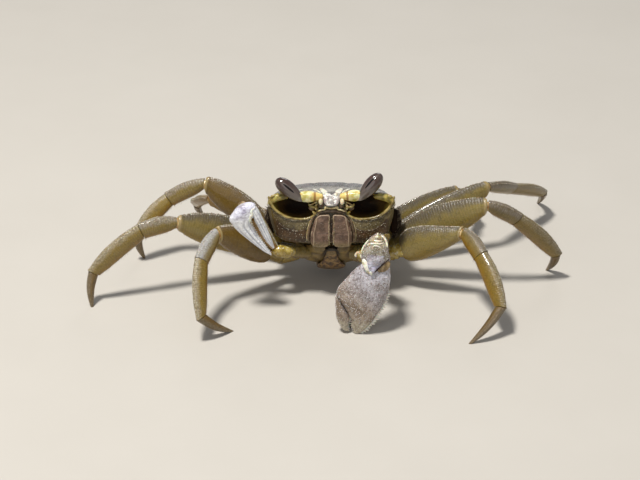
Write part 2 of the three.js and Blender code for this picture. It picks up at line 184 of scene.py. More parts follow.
class Finish(Graph):
    """A material under construction. Its coat is a weight and a roughness. Its flesh is a
    weight, a depth and a tint of the light that soaks in."""

    def __init__(self, name, coat=(), flesh=(), **uniform):
        self.material = bpy.data.materials.new(name)
        self.material.use_nodes = True
        self.tree = self.material.node_tree
        self.shader = self.tree.nodes["Principled BSDF"]
        values = dict(zip(("Coat Weight", "Coat Roughness"), coat))
        values.update(zip(("Subsurface Weight", "Subsurface Scale", "Subsurface Radius"), flesh))
        values.update(uniform)
        for name, value in values.items():
            self.shader.inputs[name.replace("_", " ")].default_value = value

    def paint(self, colour, *layers, **sockets):
        """A base colour and the layers over it, each a share and a colour, then other inputs."""
        for share, over in layers:
            colour = share.mix(colour, over)
        sockets["Base_Color"] = colour
        for name, value in sockets.items():
            self.tree.links.new(value.socket, self.shader.inputs[name.replace("_", " ")])

    def attribute(self, name):
        return self.node("ShaderNodeAttribute", out="Fac", attribute_name=name)

    def noise(self, scale, detail=4.0, rough=0.55, stretch=None):
        where = self.node("ShaderNodeTexCoord", out="Object")
        if stretch:
            where = self.node("ShaderNodeVectorMath", {0: where, 1: stretch},
                              operation="MULTIPLY")
        return self.node("ShaderNodeTexNoise", {"Vector": where, "Scale": scale,
                                                "Detail": detail, "Roughness": rough})

    def cells(self, scale):
        """The distance to the nearest of many strewn points."""
        where = self.node("ShaderNodeTexCoord", out="Object")
        return self.node("ShaderNodeTexVoronoi", {"Vector": where, "Scale": scale}, "Distance")

    def bump(self, height, depth, strength):
        made = self.node("ShaderNodeBump",
                         {"Height": height, "Distance": depth, "Strength": strength})
        self.tree.links.new(made.socket, self.shader.inputs["Normal"])


def mottled(name, grain, spread, dark, pale, coat=(), flesh=(), gloss=None, relief=None,
            **uniform):
    """A finish of two tones that mix by a noise. Spread is where one gives way to the other,
    gloss the least roughness of a mottled one, relief the scale, depth and strength of a bump."""
    finish = Finish(name, coat, flesh, **uniform)
    shade = finish.noise(*grain)
    sockets = {"Roughness": gloss + 0.2 * shade} if gloss else {}
    finish.paint(dark, (shade.step(*spread) if spread else shade, pale), **sockets)
    if relief:
        scale, depth, strength = relief
        finish.bump(finish.noise(scale), depth, strength)
    return finish


floor_finish = mottled("studio floor", (30.0,), None, (0.56, 0.53, 0.48), (0.6, 0.57, 0.52),
                       Roughness=0.9, Specular_IOR_Level=0.2)
FLOOR_HALF = 3.0
floor_mesh = bpy.data.meshes.new("studio_floor")
floor_mesh.from_pydata([(x * FLOOR_HALF, y * FLOOR_HALF, 0) for x, y in
                        ((-1, -1), (1, -1), (1, 1), (-1, 1))], [], [(0, 1, 2, 3)])
floor_mesh.materials.append(floor_finish.material)
stand("studio_floor", floor_mesh)


# ------------------------------------------------------------------ walking legs
# Eight legs of thin translucent olive shell. Each has a short base, a broad flat merus, a
# carpus, a flat propodus and a slender horny dactyl, and soft orange skin shows in each knee.
def corners(node):
    """The corners of a solid, its loose triangles merged in a copy."""
    shape = bmesh.new()
    shape.from_mesh(frame["nodes"][node].data)
    bmesh.ops.remove_doubles(shape, verts=shape.verts, dist=2e-6)
    return shape


def flat_ends(node):
    """The middles of a limb segment's two flat ends, the only corners with all faces level."""
    shape = corners(node)
    found = []
    for corner in shape.verts:
        faces = corner.link_faces
        if len(faces) > 5 and all(f.normal.dot(faces[0].normal) > 0.9999 for f in faces):
            found.append(corner.co.copy())
    shape.free()
    return found


def joint_between(first, second):
    """The joint where two neighbouring solids almost touch."""
    pairs = [(a, b) for a in flat_ends(first) for b in flat_ends(second)]
    return sum(min(pairs, key=lambda ends: (ends[0] - ends[1]).length), Vector()) / 2


def far_end(node, joint):
    return max(flat_ends(node), key=lambda point: (point - joint).length)


def unit(vector):
    return vector / np.linalg.norm(vector)


def curve(values, t):
    """Smooth curve through evenly spaced values or points, read at t from 0 to 1."""
    values = np.asarray(values, float)
    top = len(values) - 1
    place = np.clip(np.asarray(t, float), 0, 1) * top
    i = np.minimum(place.astype(int), top - 1)
    a, b, c, d = (values[np.clip(i + k, 0, top)] for k in (-1, 0, 1, 2))
    u = place - i if values.ndim == 1 else (place - i)[..., None]
    return b + 0.5 * u * (c - a + u * (2 * a - 5 * b + 4 * c - d + u * (3 * (b - c) + d - a)))


def skin_mesh(name, rings, marks):
    """A mesh through rings of points, capped at both ends, with named marks at its corners."""
    rings = np.asarray(rings, float)
    rows, around = rings.shape[:2]
    points = rings.reshape(-1, 3)
    r, i = np.meshgrid(np.arange(rows - 1), np.arange(around), indexing="ij")
    j = (i + 1) % around
    faces = np.stack([r * around + i, r * around + j, (r + 1) * around + j, (r + 1) * around + i],
                     axis=-1).reshape(-1, 4).tolist()
    start, end = len(points), len(points) + 1
    points = np.vstack([points, rings[0].mean(0), rings[-1].mean(0)])
    for k in range(around):
        after = (k + 1) % around
        faces.append((after, k, start))
        faces.append(((rows - 1) * around + k, (rows - 1) * around + after, end))
    mesh = bpy.data.meshes.new(name)
    mesh.from_pydata(points.tolist(), [], faces)
    for mark, values in marks.items():
        layer = mesh.attributes.new(mark, "FLOAT", "POINT")
        values = np.asarray(values, float)
        level_values = np.concatenate([values.reshape(-1), [values[0].mean(), values[-1].mean()]])
        layer.data.foreach_set("value", level_values.astype(np.float32))
    fresh = bmesh.new()
    fresh.from_mesh(mesh)
    bmesh.ops.recalc_face_normals(fresh, faces=fresh.faces)
    fresh.to_mesh(mesh)
    fresh.free()
    mesh.shade_smooth()
    return mesh


def part(name, mesh, finish, slot, *nodes):
    """A finished piece: its mesh, its material, a slot that is not used, and the solids that it
    stands for.
    """
    piece = stand(name, mesh)
    if finish:
        mesh.materials.clear()
        mesh.materials.append(finish.material)
    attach(piece, "root")
    if nodes:
        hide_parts(*nodes)
    return piece


def rounded(turn, boxiness):
    """Unit section at an angle: 2 is an ellipse, more is boxier."""
    c, s = np.cos(turn), np.sin(turn)
    p = 2.0 / boxiness
    return np.sign(c) * np.abs(c) ** p, np.sign(s) * np.abs(s) ** p


def skin(name, rings, marks, finish, slot, *nodes):
    return part(name, skin_mesh(name, rings, marks), finish, slot, *nodes)


def bell(t):
    return np.sin(np.pi * np.clip(t, 0, 1))


def read(half, t):
    return half(t) if callable(half) else curve(half, t)


LIMB_BOXINESS = 2.3
LIMB_LIP = 0.12
FOOT_FLUTES = 0.07


def limb_rings(start, end, blade, halves, start_cut=None, end_cut=None, rows=40, around=28,
               keel=0.0, inset=(0.3, 0.3), bow=0.0, ripple=0.0, ripple_seed=0.0, flare=0.0,
               foot=False):
    """Rings of one limb segment, in metres, with its along and rise marks. The halves are its
    heights up and down and its half thickness, each a function or evenly spaced values."""
    start, end, blade = (np.asarray(v, float) for v in (start, end, blade))
    up, down, thick = halves if len(halves) == 3 else (halves[0], *halves)
    axis = unit(end - start)
    rise = unit(blade - axis * blade.dot(axis))
    side = np.cross(axis, rise)
    start_cut = axis if start_cut is None else start_cut
    end_cut = axis if end_cut is None else end_cut
    rings, alongs, rises = [], [], []
    turn = 2 * np.pi * (np.arange(around) + 0.5) / around
    c, s = rounded(turn, LIMB_BOXINESS)
    closing = [(0.6, -1.0), (0.78, -0.2), (0.93, 0.1)]
    order = [(0.0, *step) for step in closing] + [(t, 1.0, 0.0) for t in np.linspace(0, 1, rows)]
    order += [(1.0, *step) for step in reversed(closing)]
    for t, shrink, dip in order:
        swollen = shrink * (1 + flare * (math.exp(-((t - 0.975) / 0.02) ** 2)
                                         - 0.5 * math.exp(-((t - 0.93) / 0.025) ** 2)))
        high = np.where(s > 0, read(up, t), read(down, t)) * MM * swollen
        wide = read(thick, t) * MM * swollen * (1 - keel * np.clip(s, 0, 1) ** 2)
        offset = np.outer(s * high, rise) + np.outer(c * wide, side)
        if ripple and 0.04 < t < 0.96:
            wave = np.array([noise.noise(Vector((t * 26.0, k * 0.9, ripple_seed))) for k in
                             np.cos(turn) * 1.5 + np.sin(turn)])
            offset *= (1 + ripple * wave[:, None])
        if foot:
            offset *= 1 + FOOT_FLUTES * min(1.0, 4 * t) * np.cos(6 * turn)[:, None]
        cut, gap = (start_cut, inset[0]) if t < 0.5 else (end_cut, -inset[1])
        flat = t >= 0.5 and foot
        if flat:
            cut, gap = np.array([0.0, 0.0, -1.0]), 0.0
        slide = (gap * MM - offset @ cut) / axis.dot(cut)
        hold = abs(2 * t - 1) ** 3
        middle = start + (end - start) * t + rise * bow * MM * bell(t)
        backward = dip * LIMB_LIP * MM * (1 if t < 0.5 else -1) * (0 if flat else 1)
        rings.append(middle + offset + np.outer(hold * slide + backward, axis))
        alongs.append(np.full(around, t))
        rises.append(s)
    return rings, {"along": alongs, "rise": rises}


def limb(name, finish, slot, nodes, *shape, **more):
    """One limb segment as a finished piece. Its rings come back for what grows on it."""
    rings, marks = limb_rings(*shape, **more)
    skin(name, rings, marks, finish, slot, *nodes)
    return rings


def edge_line(rings, at, start, end, proud=0.0):
    """A line on a limb's skin, at a share of the way round it, with the way out and its place."""
    rings = np.asarray(rings)[3:-3]
    rows, around = rings.shape[:2]
    first, last = int(start * (rows - 1)), int(end * (rows - 1))
    points = rings[first:last + 1, int(round(at * around)) % around]
    out = points - rings[first:last + 1].mean(axis=1)
    out /= np.linalg.norm(out, axis=1)[:, None]
    place = np.stack([np.full(len(points), at), np.linspace(start, end, len(points))], axis=-1)
    return np.hstack([points + out * proud * MM, out, place])


def mitre(before, joint, after):
    """The plane that parts two segments halves the bend between them."""
    return unit(unit(np.asarray(joint - before)) + unit(np.asarray(after - joint)))


def shell_finish(name, crown, flank, belly, crown_at, end=None, bands=0, horn=False):
    """Translucent leg shell: grey granular crown, olive flank, amber belly, cross striae, and pale
    specks, partly painted glints, thickest on the crown.
    """
    finish = Finish(name, (0.45, 0.09), (0.2, 0.0014, (1.0, 0.55, 0.12)), Specular_IOR_Level=0.42)
    along = finish.attribute("along")
    rise = finish.attribute("rise")
    blotch = finish.noise(420.0, 3.0)
    fine = finish.noise(1900.0, 2.0)
    edge = (rise + (blotch - 0.5) * 0.7).step(crown_at - 0.25, crown_at + 0.35)
    under = (-1.0 * rise + (blotch - 0.5) * 0.5).step(0.0, 0.9)
    specks = (fine + (blotch - 0.5) * 0.6).step(0.5, 0.68)
    # Pale specks, part the shell's own pale dots and part painted glints, densest on the crown.
    pale = 1 - finish.cells(2400.0).step(0.1, 0.24)
    dark = tuple(0.5 * channel for channel in flank)
    light = tuple(min(1.0, channel * 1.9 + 0.2) for channel in crown)
    layers = [(under, belly), (edge, crown)]
    ribs = 0.0
    if horn:
        layers.append((along.step(0.35, 1.0), crown))
    if bands:
        striae = finish.node("ShaderNodeMath", {0: along * (bands * 6.283) + fine * 4.0},
                             operation="SINE")
        layers.append((striae.step(0.1, 1.0) * 0.26, dark))
        ribs = striae * (edge * 0.2 + 0.1)
    layers += [(specks * 0.5, dark), (pale * (0.3 + 0.5 * edge), light)]
    if end:
        layers.append((along.step(0.955, 0.985), end))
    finish.paint(flank, *layers, Roughness=(0.34 if horn else 0.24) + 0.22 * blotch)
    finish.bump(ribs + fine * 0.7 + finish.cells(3000.0) * 0.6, 0.0001, 0.9)
    return finish


AMBER = (0.25, 0.13, 0.004)
merus_finish = shell_finish("merus shell", (0.12, 0.098, 0.065), (0.265, 0.2, 0.06),
                            (0.26, 0.165, 0.015), 0.52, (0.36, 0.27, 0.12), 38)
shaded_merus_finish = shell_finish("shaded merus shell", (0.17, 0.13, 0.085), (0.17, 0.1, 0.012),
                                   (0.15, 0.08, 0.005), 0.75, (0.34, 0.25, 0.1), 44)
rear_finish = shell_finish("rear leg shell", (0.24, 0.18, 0.1), (0.26, 0.16, 0.045),
                           (0.28, 0.17, 0.04), 0.8, bands=30)
MERUS_FINISHES = {"leg1_right": shaded_merus_finish, "leg3_right": shaded_merus_finish,
                  "leg4_right": rear_finish}
# The left and right carpus and propodus finishes are lit and shaded copies: the right legs' copies
# are painted lighter and the left legs' darker, as painted light and shade.
CARPUS_FINISHES = {
    "left": shell_finish("left carpus shell", (0.19, 0.155, 0.11), (0.2, 0.14, 0.035), AMBER, 0.35,
                         bands=16),
    "right": shell_finish("right carpus shell", (0.29, 0.245, 0.18), (0.26, 0.185, 0.045), AMBER,
                          0.35, bands=16),
    "leg1_right": shell_finish("pale carpus shell", (0.39, 0.38, 0.36), (0.26, 0.2, 0.08), AMBER,
                               0.2),
    "leg4_right": rear_finish}
PROPODUS_FINISHES = {
    "left": shell_finish("left propodus shell", (0.24, 0.19, 0.1), (0.21, 0.135, 0.015), AMBER,
                         0.5, bands=26),
    "right": shell_finish("right propodus shell", (0.36, 0.3, 0.19), (0.26, 0.175, 0.03), AMBER,
                          0.5, bands=26),
    "leg4_right": rear_finish}
base_finish = shell_finish("leg base shell", (0.36, 0.3, 0.1), (0.3, 0.21, 0.04),
                           (0.2, 0.13, 0.02), 0.9)
dactyl_finish = shell_finish("leg tip horn", (0.17, 0.125, 0.065), (0.155, 0.095, 0.027),
                             (0.12, 0.07, 0.015), 0.5, horn=True)

knuckle_finish = Finish("hip knuckle skin", (0.9, 0.1), (0.3, 0.001, (1.0, 0.8, 0.2)),
                        Roughness=0.25)
shade = knuckle_finish.noise(520.0)
knuckle_finish.paint((0.26, 0.17, 0.015), (shade.step(0.38, 0.68), (0.62, 0.48, 0.13)),
                     (knuckle_finish.noise(1300.0).step(0.56, 0.68) * 0.7, (0.75, 0.72, 0.5)))
knuckle_finish.bump(shade + knuckle_finish.noise(1500.0) * 0.4, 0.0002, 0.9)
joint_finish = mottled("knee skin", (700.0,), (0.35, 0.65), (0.36, 0.15, 0.02),
                       (0.62, 0.47, 0.22), (0.4, 0.15), (0.3, 0.001, (1.0, 0.6, 0.3)),
                       relief=(1600.0, 0.00015, 0.8))
seam_finish = mottled("wrist and ankle skin", (900.0,), None, (0.12, 0.07, 0.015),
                      (0.24, 0.15, 0.04), Roughness=0.5)
horn_grain_finish = mottled("leg edge grains", (1500.0,), (0.4, 0.6), (0.2, 0.15, 0.09),
                            (0.66, 0.6, 0.5), (0.4, 0.12), (0.1, 0.0005))
bristle_finish = mottled("bristles", (1500.0,), (0.4, 0.6), (0.2, 0.13, 0.06), (0.5, 0.4, 0.24),
                         Roughness=0.45, Specular_IOR_Level=0.3)


class Recipe(Graph):
    """A Geometry Nodes tree under construction, with named inputs."""

    def __init__(self, name, seed, finish):
        self.name = name
        self.tree = bpy.data.node_groups.new(name, "GeometryNodeTree")
        for way in ("INPUT", "OUTPUT"):
            self.tree.interface.new_socket("Geometry", in_out=way,
                                           socket_type="NodeSocketGeometry")
        self.into = self.tree.nodes.new("NodeGroupInput")
        self.surface = Value(self, self.into.outputs["Geometry"])
        self.values = {}
        self.seed = self.input("Seed", "Int", seed)
        self.material = self.input("Finish", "Material", finish.material)

    def input(self, name, kind, value):
        socket = self.tree.interface.new_socket(name, in_out="INPUT",
                                                socket_type="NodeSocket" + kind)
        self.values[socket.identifier] = value
        return Value(self, self.into.outputs[name])

    def named(self, name, kind="FLOAT_VECTOR"):
        return self.node("GeometryNodeInputNamedAttribute", {"Name": name}, data_type=kind)

    def vary(self, low, high, kind="FLOAT"):
        """A random number or vector for each point."""
        first = 0 if kind == "FLOAT_VECTOR" else 2
        return self.node("FunctionNodeRandomValue",
                         {first: low, first + 1: high, "Seed": self.seed}, first // 2,
                         data_type=kind)

    def scaled(self, vector, scale):
        return self.node("ShaderNodeVectorMath", {0: vector, "Scale": scale}, operation="SCALE")

    def store(self, geometry, name, value, kind, domain):
        return self.node("GeometryNodeStoreNamedAttribute",
                         {"Geometry": geometry, "Name": name, "Value": value}, data_type=kind,
                         domain=domain)

    def realize(self, instances):
        real = self.node("GeometryNodeRealizeInstances", {0: instances})
        smooth = self.node("GeometryNodeSetShadeSmooth", {0: real})
        return self.node("GeometryNodeSetMaterial",
                         {"Geometry": smooth, "Material": self.material})

    def grow(self, mesh, result, slot):
        """The finished piece that the tree makes from a surface or from lines."""
        out = self.tree.nodes.new("NodeGroupOutput")
        self.tree.links.new(result.socket, out.inputs["Geometry"])
        carrier = stand(self.name, mesh)
        modifier = carrier.modifiers.new("make", "NODES")
        modifier.node_group = self.tree
        for identifier, value in self.values.items():
            modifier[identifier] = value
        made = plain_mesh(carrier)
        bpy.data.objects.remove(carrier)
        made.name = self.name
        return part(self.name, made, None, slot)


def plain_mesh(piece):
    """The piece with its modifiers worked out, as a plain mesh."""
    bpy.context.view_layer.update()
    graph = bpy.context.evaluated_depsgraph_get()
    return bpy.data.meshes.new_from_object(piece.evaluated_get(graph), depsgraph=graph)


def line_mesh(name, lines):
    """Lines of points as a mesh. Beside its place, a point may say which way is out, and where
    it lies on the unwrapped skin."""
    points, links = [], []
    for line in lines:
        links += [(len(points) + k, len(points) + k + 1) for k in range(len(line) - 1)]
        points += [tuple(point) for point in line]
    values = np.array(points, float)
    mesh = bpy.data.meshes.new(name + "_lines")
    mesh.from_pydata(values[:, :3].tolist(), links, [])
    for mark, first in (("out", 3), ("unwrap", 6)):
        if values.shape[1] > first:
            layer = mesh.attributes.new(mark, "FLOAT_VECTOR", "POINT")
            wide = np.zeros((len(values), 3), np.float32)
            given = values[:, first:first + 3]
            wide[:, :given.shape[1]] = given
            layer.data.foreach_set("vector", wide.reshape(-1))
    return mesh


def set_along(recipe, count, shape, spread, lean, scale):
    """Copies of a shape along every line, stood on the surface and leaning towards its end."""
    strand = recipe.node("GeometryNodeMeshToCurve", {"Mesh": recipe.surface})
    spaced = recipe.node("GeometryNodeResampleCurve",
                         {"Curve": strand, "Count": recipe.input("Count", "Int", count)})
    first = recipe.node("FunctionNodeAlignRotationToVector",
                        {"Vector": recipe.node("GeometryNodeInputTangent")}, axis="X")
    stood = recipe.node("FunctionNodeAlignRotationToVector",
                        {"Rotation": first, "Vector": recipe.named("out")}, axis="Z",
                        pivot_axis="X")
    sway = recipe.vary((-spread, lean - spread, -spread), (spread, lean + spread, spread),
                       "FLOAT_VECTOR")
    turned = recipe.node("FunctionNodeRotateRotation",
                         {"Rotation": stood,
                          "Rotate By": recipe.node("FunctionNodeEulerToRotation", {0: sway})},
                         rotation_space="LOCAL")
    placed = recipe.node("GeometryNodeInstanceOnPoints",
                         {"Points": spaced, "Instance": shape, "Rotation": turned,
                          "Scale": scale})
    return recipe.realize(placed)


def bead_row(name, path, count, size, finish, slot, seed, shape=(1, 1, 0.8), kind="grain"):
    """A row of small grains or teeth along a path."""
    recipe = Recipe(name, seed, finish)
    if kind == "tooth":
        bead = recipe.node("GeometryNodeMeshCone", {"Vertices": 8, "Side Segments": 3,
                                                    "Radius Top": 0.12, "Radius Bottom": 1.0,
                                                    "Depth": 2.2})
    else:
        bead = recipe.node("GeometryNodeMeshIcoSphere",
                           {"Radius": 1.0, "Subdivisions": 1 if size < 0.1 else 2})
    scale = recipe.vary(0.75, 1.2) * recipe.input("Size", "Float", size * MM)
    beads = set_along(recipe, count, bead, 0.0, 0.0, recipe.scaled(shape, scale))
    return recipe.grow(line_mesh(name, [path]), beads, slot)


PATCH = 0.003


def bristles(name, lines, count, length, width, finish, slot, seed, lean, spread=0.3):
    """Thin curved bristles along lines on a skin, each with its root's place on the unwrap."""
    recipe = Recipe(name, seed, finish)
    long = recipe.input("Length", "Float", length * MM)
    wide = recipe.input("Width", "Float", width * MM)
    bend = recipe.input("Curl", "Float", 0.35)
    cone = recipe.node("GeometryNodeMeshCone", {"Vertices": 3, "Side Segments": 3,
                                                "Radius Top": 0.15, "Radius Bottom": 1.0,
                                                "Depth": 1.0})
    position = recipe.node("GeometryNodeInputPosition")
    across = recipe.node("ShaderNodeSeparateXYZ", {0: position}, "X")
    up = across["Z"]
    patch = recipe.node("ShaderNodeCombineXYZ", {0: up, 1: across})
    marked = recipe.store(cone, "patch", patch, "FLOAT_VECTOR", "POINT")
    push = recipe.node("ShaderNodeCombineXYZ", {0: up * up * bend * (long / wide)})
    curved = recipe.node("GeometryNodeSetPosition", {"Geometry": marked, "Offset": push})
    grown = recipe.vary(0.55, 1.15) * long
    scale = recipe.node("ShaderNodeCombineXYZ", {0: wide, 1: wide, 2: grown})
    made = set_along(recipe, count, curved, spread, lean, scale)
    spot = recipe.node("ShaderNodeVectorMath",
                       {0: recipe.named("unwrap"), 1: recipe.scaled(recipe.named("patch"), PATCH)},
                       operation="ADD")
    stored = recipe.store(made, "OFBake", spot, "FLOAT2", "CORNER")
    return recipe.grow(line_mesh(name, lines), stored, slot)


STEPS = ("base", "merus", "carpus", "propodus", "dactyl")
# Each leg's greatest heights in millimetres from merus to dactyl, its thickness, where the merus
# is highest, and how far the knuckle at its root reaches.
GIRTH = {
    "leg1": (9.0, 4.8, 5.2, 2.2, 3.4, 0.46, 0.17),
    "leg2": (9.8, 5.2, 5.8, 2.2, 3.5, 0.54, 0.12),
    "leg3": (8.4, 4.8, 5.0, 2.1, 3.1, 0.6, 0.12),
    "leg4": (6.2, 3.6, 3.6, 1.8, 2.5, 0.55, 0.12),
}
PROFILES = {"carpus": (0.6, 0.82, 0.95, 0.98, 0.95, 0.93),
            "propodus": (0.8, 0.9, 0.93, 0.91, 0.8, 0.6),
            "dactyl": (1.2, 1.14, 1.0, 0.84, 0.62, 0.34)}
MERUS_SUNK = {"leg3_left": 1.3}
SKIN_TUCK = 1.3
LONG_KNUCKLE = {"leg1_left": 0.25}
JOINT_HALF = {"hip": (1.9, 1.35, knuckle_finish), "knee": (1.65, 1.3, joint_finish),
              "wrist": (1.8, 1.15, seam_finish), "ankle": (1.3, 0.9, seam_finish)}


def joint_skin(name, joint, before, after, blade, half_high, half_wide, finish,
               beyond=SKIN_TUCK):
    """The soft wrinkled skin that bridges a joint, tucked under both shells."""
    joint, before, after, blade = (np.asarray(v, float) for v in (joint, before, after, blade))
    first = joint + unit(before - joint) * SKIN_TUCK * MM
    last = joint + unit(after - joint) * beyond * MM
    turn = 2 * np.pi * np.arange(24) / 24
    rings = []
    for t in np.linspace(0, 1, 15):
        middle = (1 - t) ** 2 * first + 2 * t * (1 - t) * joint + t ** 2 * last
        axis = unit((1 - t) * (joint - first) + t * (last - joint))
        rise = unit(blade - axis * blade.dot(axis))
        side = np.cross(axis, rise)
        crease = 0.92 + 0.05 * math.cos(t * 6 * math.pi) - 0.35 * abs(2 * t - 1) ** 4
        lumps = crease + 0.12 * np.array([noise.noise(Vector((t * 3, 2 * math.cos(a), math.sin(a)))
                                                      + Vector(joint) * 900) for a in turn])
        rings.append(middle + np.outer(np.sin(turn) * half_high * MM * lumps, rise)
                     + np.outer(np.cos(turn) * half_wide * MM * lumps, side))
    return skin(name, rings, {}, finish, "leg")


def swell(t, at, power):
    return bell(t ** (math.log(0.5) / math.log(at))) ** power


# Grain rows on a segment's edges: each row's place round the segment and size, how many, where
# they start and end, how proud they stand, their first seed and their shape.
EDGE_GRAINS = {
    "merus": (((0.22, 0.22), (0.285, 0.2), (0.75, 0.11)), 40, (0.05, 0.95, 0.02), 1,
              (1.2, 0.9, 0.9)),
    "carpus": (((0.2, 0.15), (0.3, 0.15)), 18, (0.08, 0.96, 0.0), 4, (1.3, 0.9, 0.8)),
    "propodus": (((0.18, 0.13), (0.25, 0.15), (0.32, 0.13)), 26, (0.04, 0.95, 0.0), 9,
                 (1.4, 0.9, 0.75)),
}
# Bristles under a segment: their lines' places round it, where they start and end, how many,
# how long and wide, their seed and how far they lean.
EDGE_BRISTLES = {
    "carpus": ((0.7, 0.75, 0.8), (0.3, 0.98), 14, 0.75, 0.035, 7, 0.5),
    "propodus": ((0.68, 0.75, 0.82), (0.05, 0.97), 30, 0.8, 0.035, 8, 0.6),
    "dactyl": ((0.08, 0.25, 0.42, 0.58, 0.75, 0.92), (0.02, 0.9), 20, 0.5, 0.03, 9, 0.9),
}


def dress(name, step, rings, scale):
    """The grains and bristles on one leg segment."""
    if step in EDGE_GRAINS:
        rows, count, span, seed, shape = EDGE_GRAINS[step]
        for row, (place, size) in enumerate(rows):
            bead_row(f"{name}_{step}_edge{row}", edge_line(rings, place, *span), count,
                     size * scale, horn_grain_finish, "leg", seed + row, shape)
    if step in EDGE_BRISTLES:
        places, span, count, length, width, seed, lean = EDGE_BRISTLES[step]
        bristles(f"{name}_{step}_fringe", [edge_line(rings, place, *span) for place in places],
                 count, length, width, bristle_finish, "leg", seed, lean)


for number, (side, leg) in enumerate(itertools.product(("left", "right"), GIRTH), 1):
    *girths, thick, highest, share = GIRTH[leg]
    halves = {step: girth / 2 for step, girth in zip(STEPS[1:], girths)}
    name = f"{leg}_{side}"
    nodes = {step: f"{name}_{step}" for step in STEPS}
    hip, knee, wrist, ankle = (joint_between(nodes[a], nodes[b]) for a, b in
                               zip(STEPS, STEPS[1:]))
    socket = far_end(nodes["base"], hip)
    foot = far_end(nodes["dactyl"], ankle)
    fold = np.cross(foot - hip, knee - hip)
    upright = np.array([0, 0.2, 1.0])
    share = LONG_KNUCKLE.get(name, share)
    knuckle = hip + (knee - hip) * share
    hip_cut = mitre(socket, hip, knee)
    cuts = [mitre(hip, knee, wrist), mitre(knee, wrist, ankle), mitre(wrist, ankle, foot), None]
    seed = number * 3.7
    scale = thick / 3.4
    sunk = MERUS_SUNK.get(name, 0.0)
    at = (highest - share) / (1 - share)
    power = 1.1 if name in LONG_KNUCKLE else 0.7

    limb(nodes["base"] + "_shell", base_finish, "leg", [nodes["base"]], socket, hip, (0, 0, 1),
         (lambda t: 1.2 + 1.1 * t ** 0.6, lambda t: 1.2 + 0.5 * t ** 0.6), None, hip_cut, 14)
    limb(f"{name}_knuckle", knuckle_finish if name in LONG_KNUCKLE else base_finish, "leg", [],
         hip, knuckle, upright,
         (lambda t: 1.95 + 0.35 * t + 0.12 * math.sin(30 * t),
          lambda t: 1.95 - 0.15 * t + 0.12 * math.sin(30 * t), lambda t: 1.8 - 0.1 * t),
         hip_cut, None, 22, 32, inset=(0.15, -0.5), ripple=0.08, ripple_seed=seed)
    rings = limb(nodes["merus"] + "_shell", MERUS_FINISHES.get(name, merus_finish), "leg",
                 [nodes["merus"]], knuckle, knee, upright,
                 (lambda t: 2.3 - 0.7 * t + (halves["merus"] - 1.3 - sunk) * swell(t, at, power),
                  lambda t: 2.2 - 0.5 * t + (halves["merus"] - 2.6 + sunk) * swell(t, at, power),
                  lambda t: thick * (0.42 + 0.14 * bell(t))), None, cuts[0], 84, 44, 0.45,
                 (0.0, 0.3), ripple=0.012, ripple_seed=seed, flare=0.06)
    dress(name, "merus", rings, scale)

    halves = {step: halves[step] * np.array(profile) for step, profile in PROFILES.items()}
    lower = {
        "carpus": (CARPUS_FINISHES, knee, wrist, lambda t: thick * (0.38 + 0.07 * bell(t)), 40,
                   0.2, (0.22, 0.07), 0.35, 0.015, 0.04),
        "propodus": (PROPODUS_FINISHES, wrist, ankle,
                     lambda t: thick * (0.38 - 0.08 * t + 0.06 * bell(t)), 60, 0.2, (0.07, 0.1),
                     0.6, 0.015, 0.0),
        "dactyl": ({side: dactyl_finish}, ankle, foot, halves["dactyl"] * 0.85, 54, 0.0,
                   (0.1, 0), 0.6, 0.0, 0.0)}
    for k, (step, values) in enumerate(lower.items()):
        finishes, start, end, wide, rows, keel, inset, bow, ripple, flare = values
        tip = step == "dactyl"
        rings = limb(nodes[step] + ("_horn" if tip else "_shell"),
                     finishes.get(name, finishes[side]), "nail" if tip else "leg", [nodes[step]],
                     start, end, np.cross(fold, end - start), (halves[step], wide), cuts[k],
                     cuts[k + 1], rows, 36, keel, inset, bow, ripple, seed + k + 1, flare, tip)
        dress(name, step, rings, scale)

    chain = (socket, hip, knee, wrist, ankle, foot)
    for k, (joint_name, (high, wide, finish)) in enumerate(JOINT_HALF.items()):
        joint_skin(f"{name}_{joint_name}_skin", chain[k + 1], chain[k], chain[k + 2],
                   upright if k == 0 else np.cross(fold, chain[k + 2] - chain[k + 1]),
                   high * scale, wide * scale, finish)


# ------------------------------------------------------------------ upper shell
# The carapace is a boxy slate-grey lid with a rolled, finely beaded edge. Its front edge
# bends back over each eye socket and ends in a sharp tooth at the outer corner.
SIDES = ((1, "left"), (-1, "right"))
PITCH = math.radians(14.5)
BODY_HEIGHT = 17.1
FRONT, REAR, HALF_WIDTH = -14.6, 16.2, 17.1
EDGE_ROUND = 0.5
REAR_ROUND = 0.02


def on_body(x, y, z):
    """A place in millimetres across, behind and above the middle of the tilted body."""
    x, y, z = np.broadcast_arrays(*(np.asarray(v, float) for v in (x, y, z)))
    c, s = math.cos(PITCH), math.sin(PITCH)
    return np.stack([under_body.x + x * MM, under_body.y + (y * c + z * s) * MM,
                     (BODY_HEIGHT - y * s + z * c) * MM], axis=-1)


def body_way(x, y, z):
    """A direction of the tilted body."""
    return on_body(x, y, z) - on_body(0, 0, 0)


def body_half_width(t):
    return HALF_WIDTH * curve([0.97, 1, 1.02, 1.01, 0.98, 0.9, 0.76, 0.55], t)


def seam_height(t):
    return 5.5 - 4.7 * np.asarray(t, float)


def lid_height(t):
    return curve([9.1, 9.4, 9.5, 9.3, 8.8, 7.8, 6.0, 2.9], t)


def lid_boxiness(t):
    return curve([9, 3.4, 2.5, 2.4, 2.4, 2.4, 2.5], t)


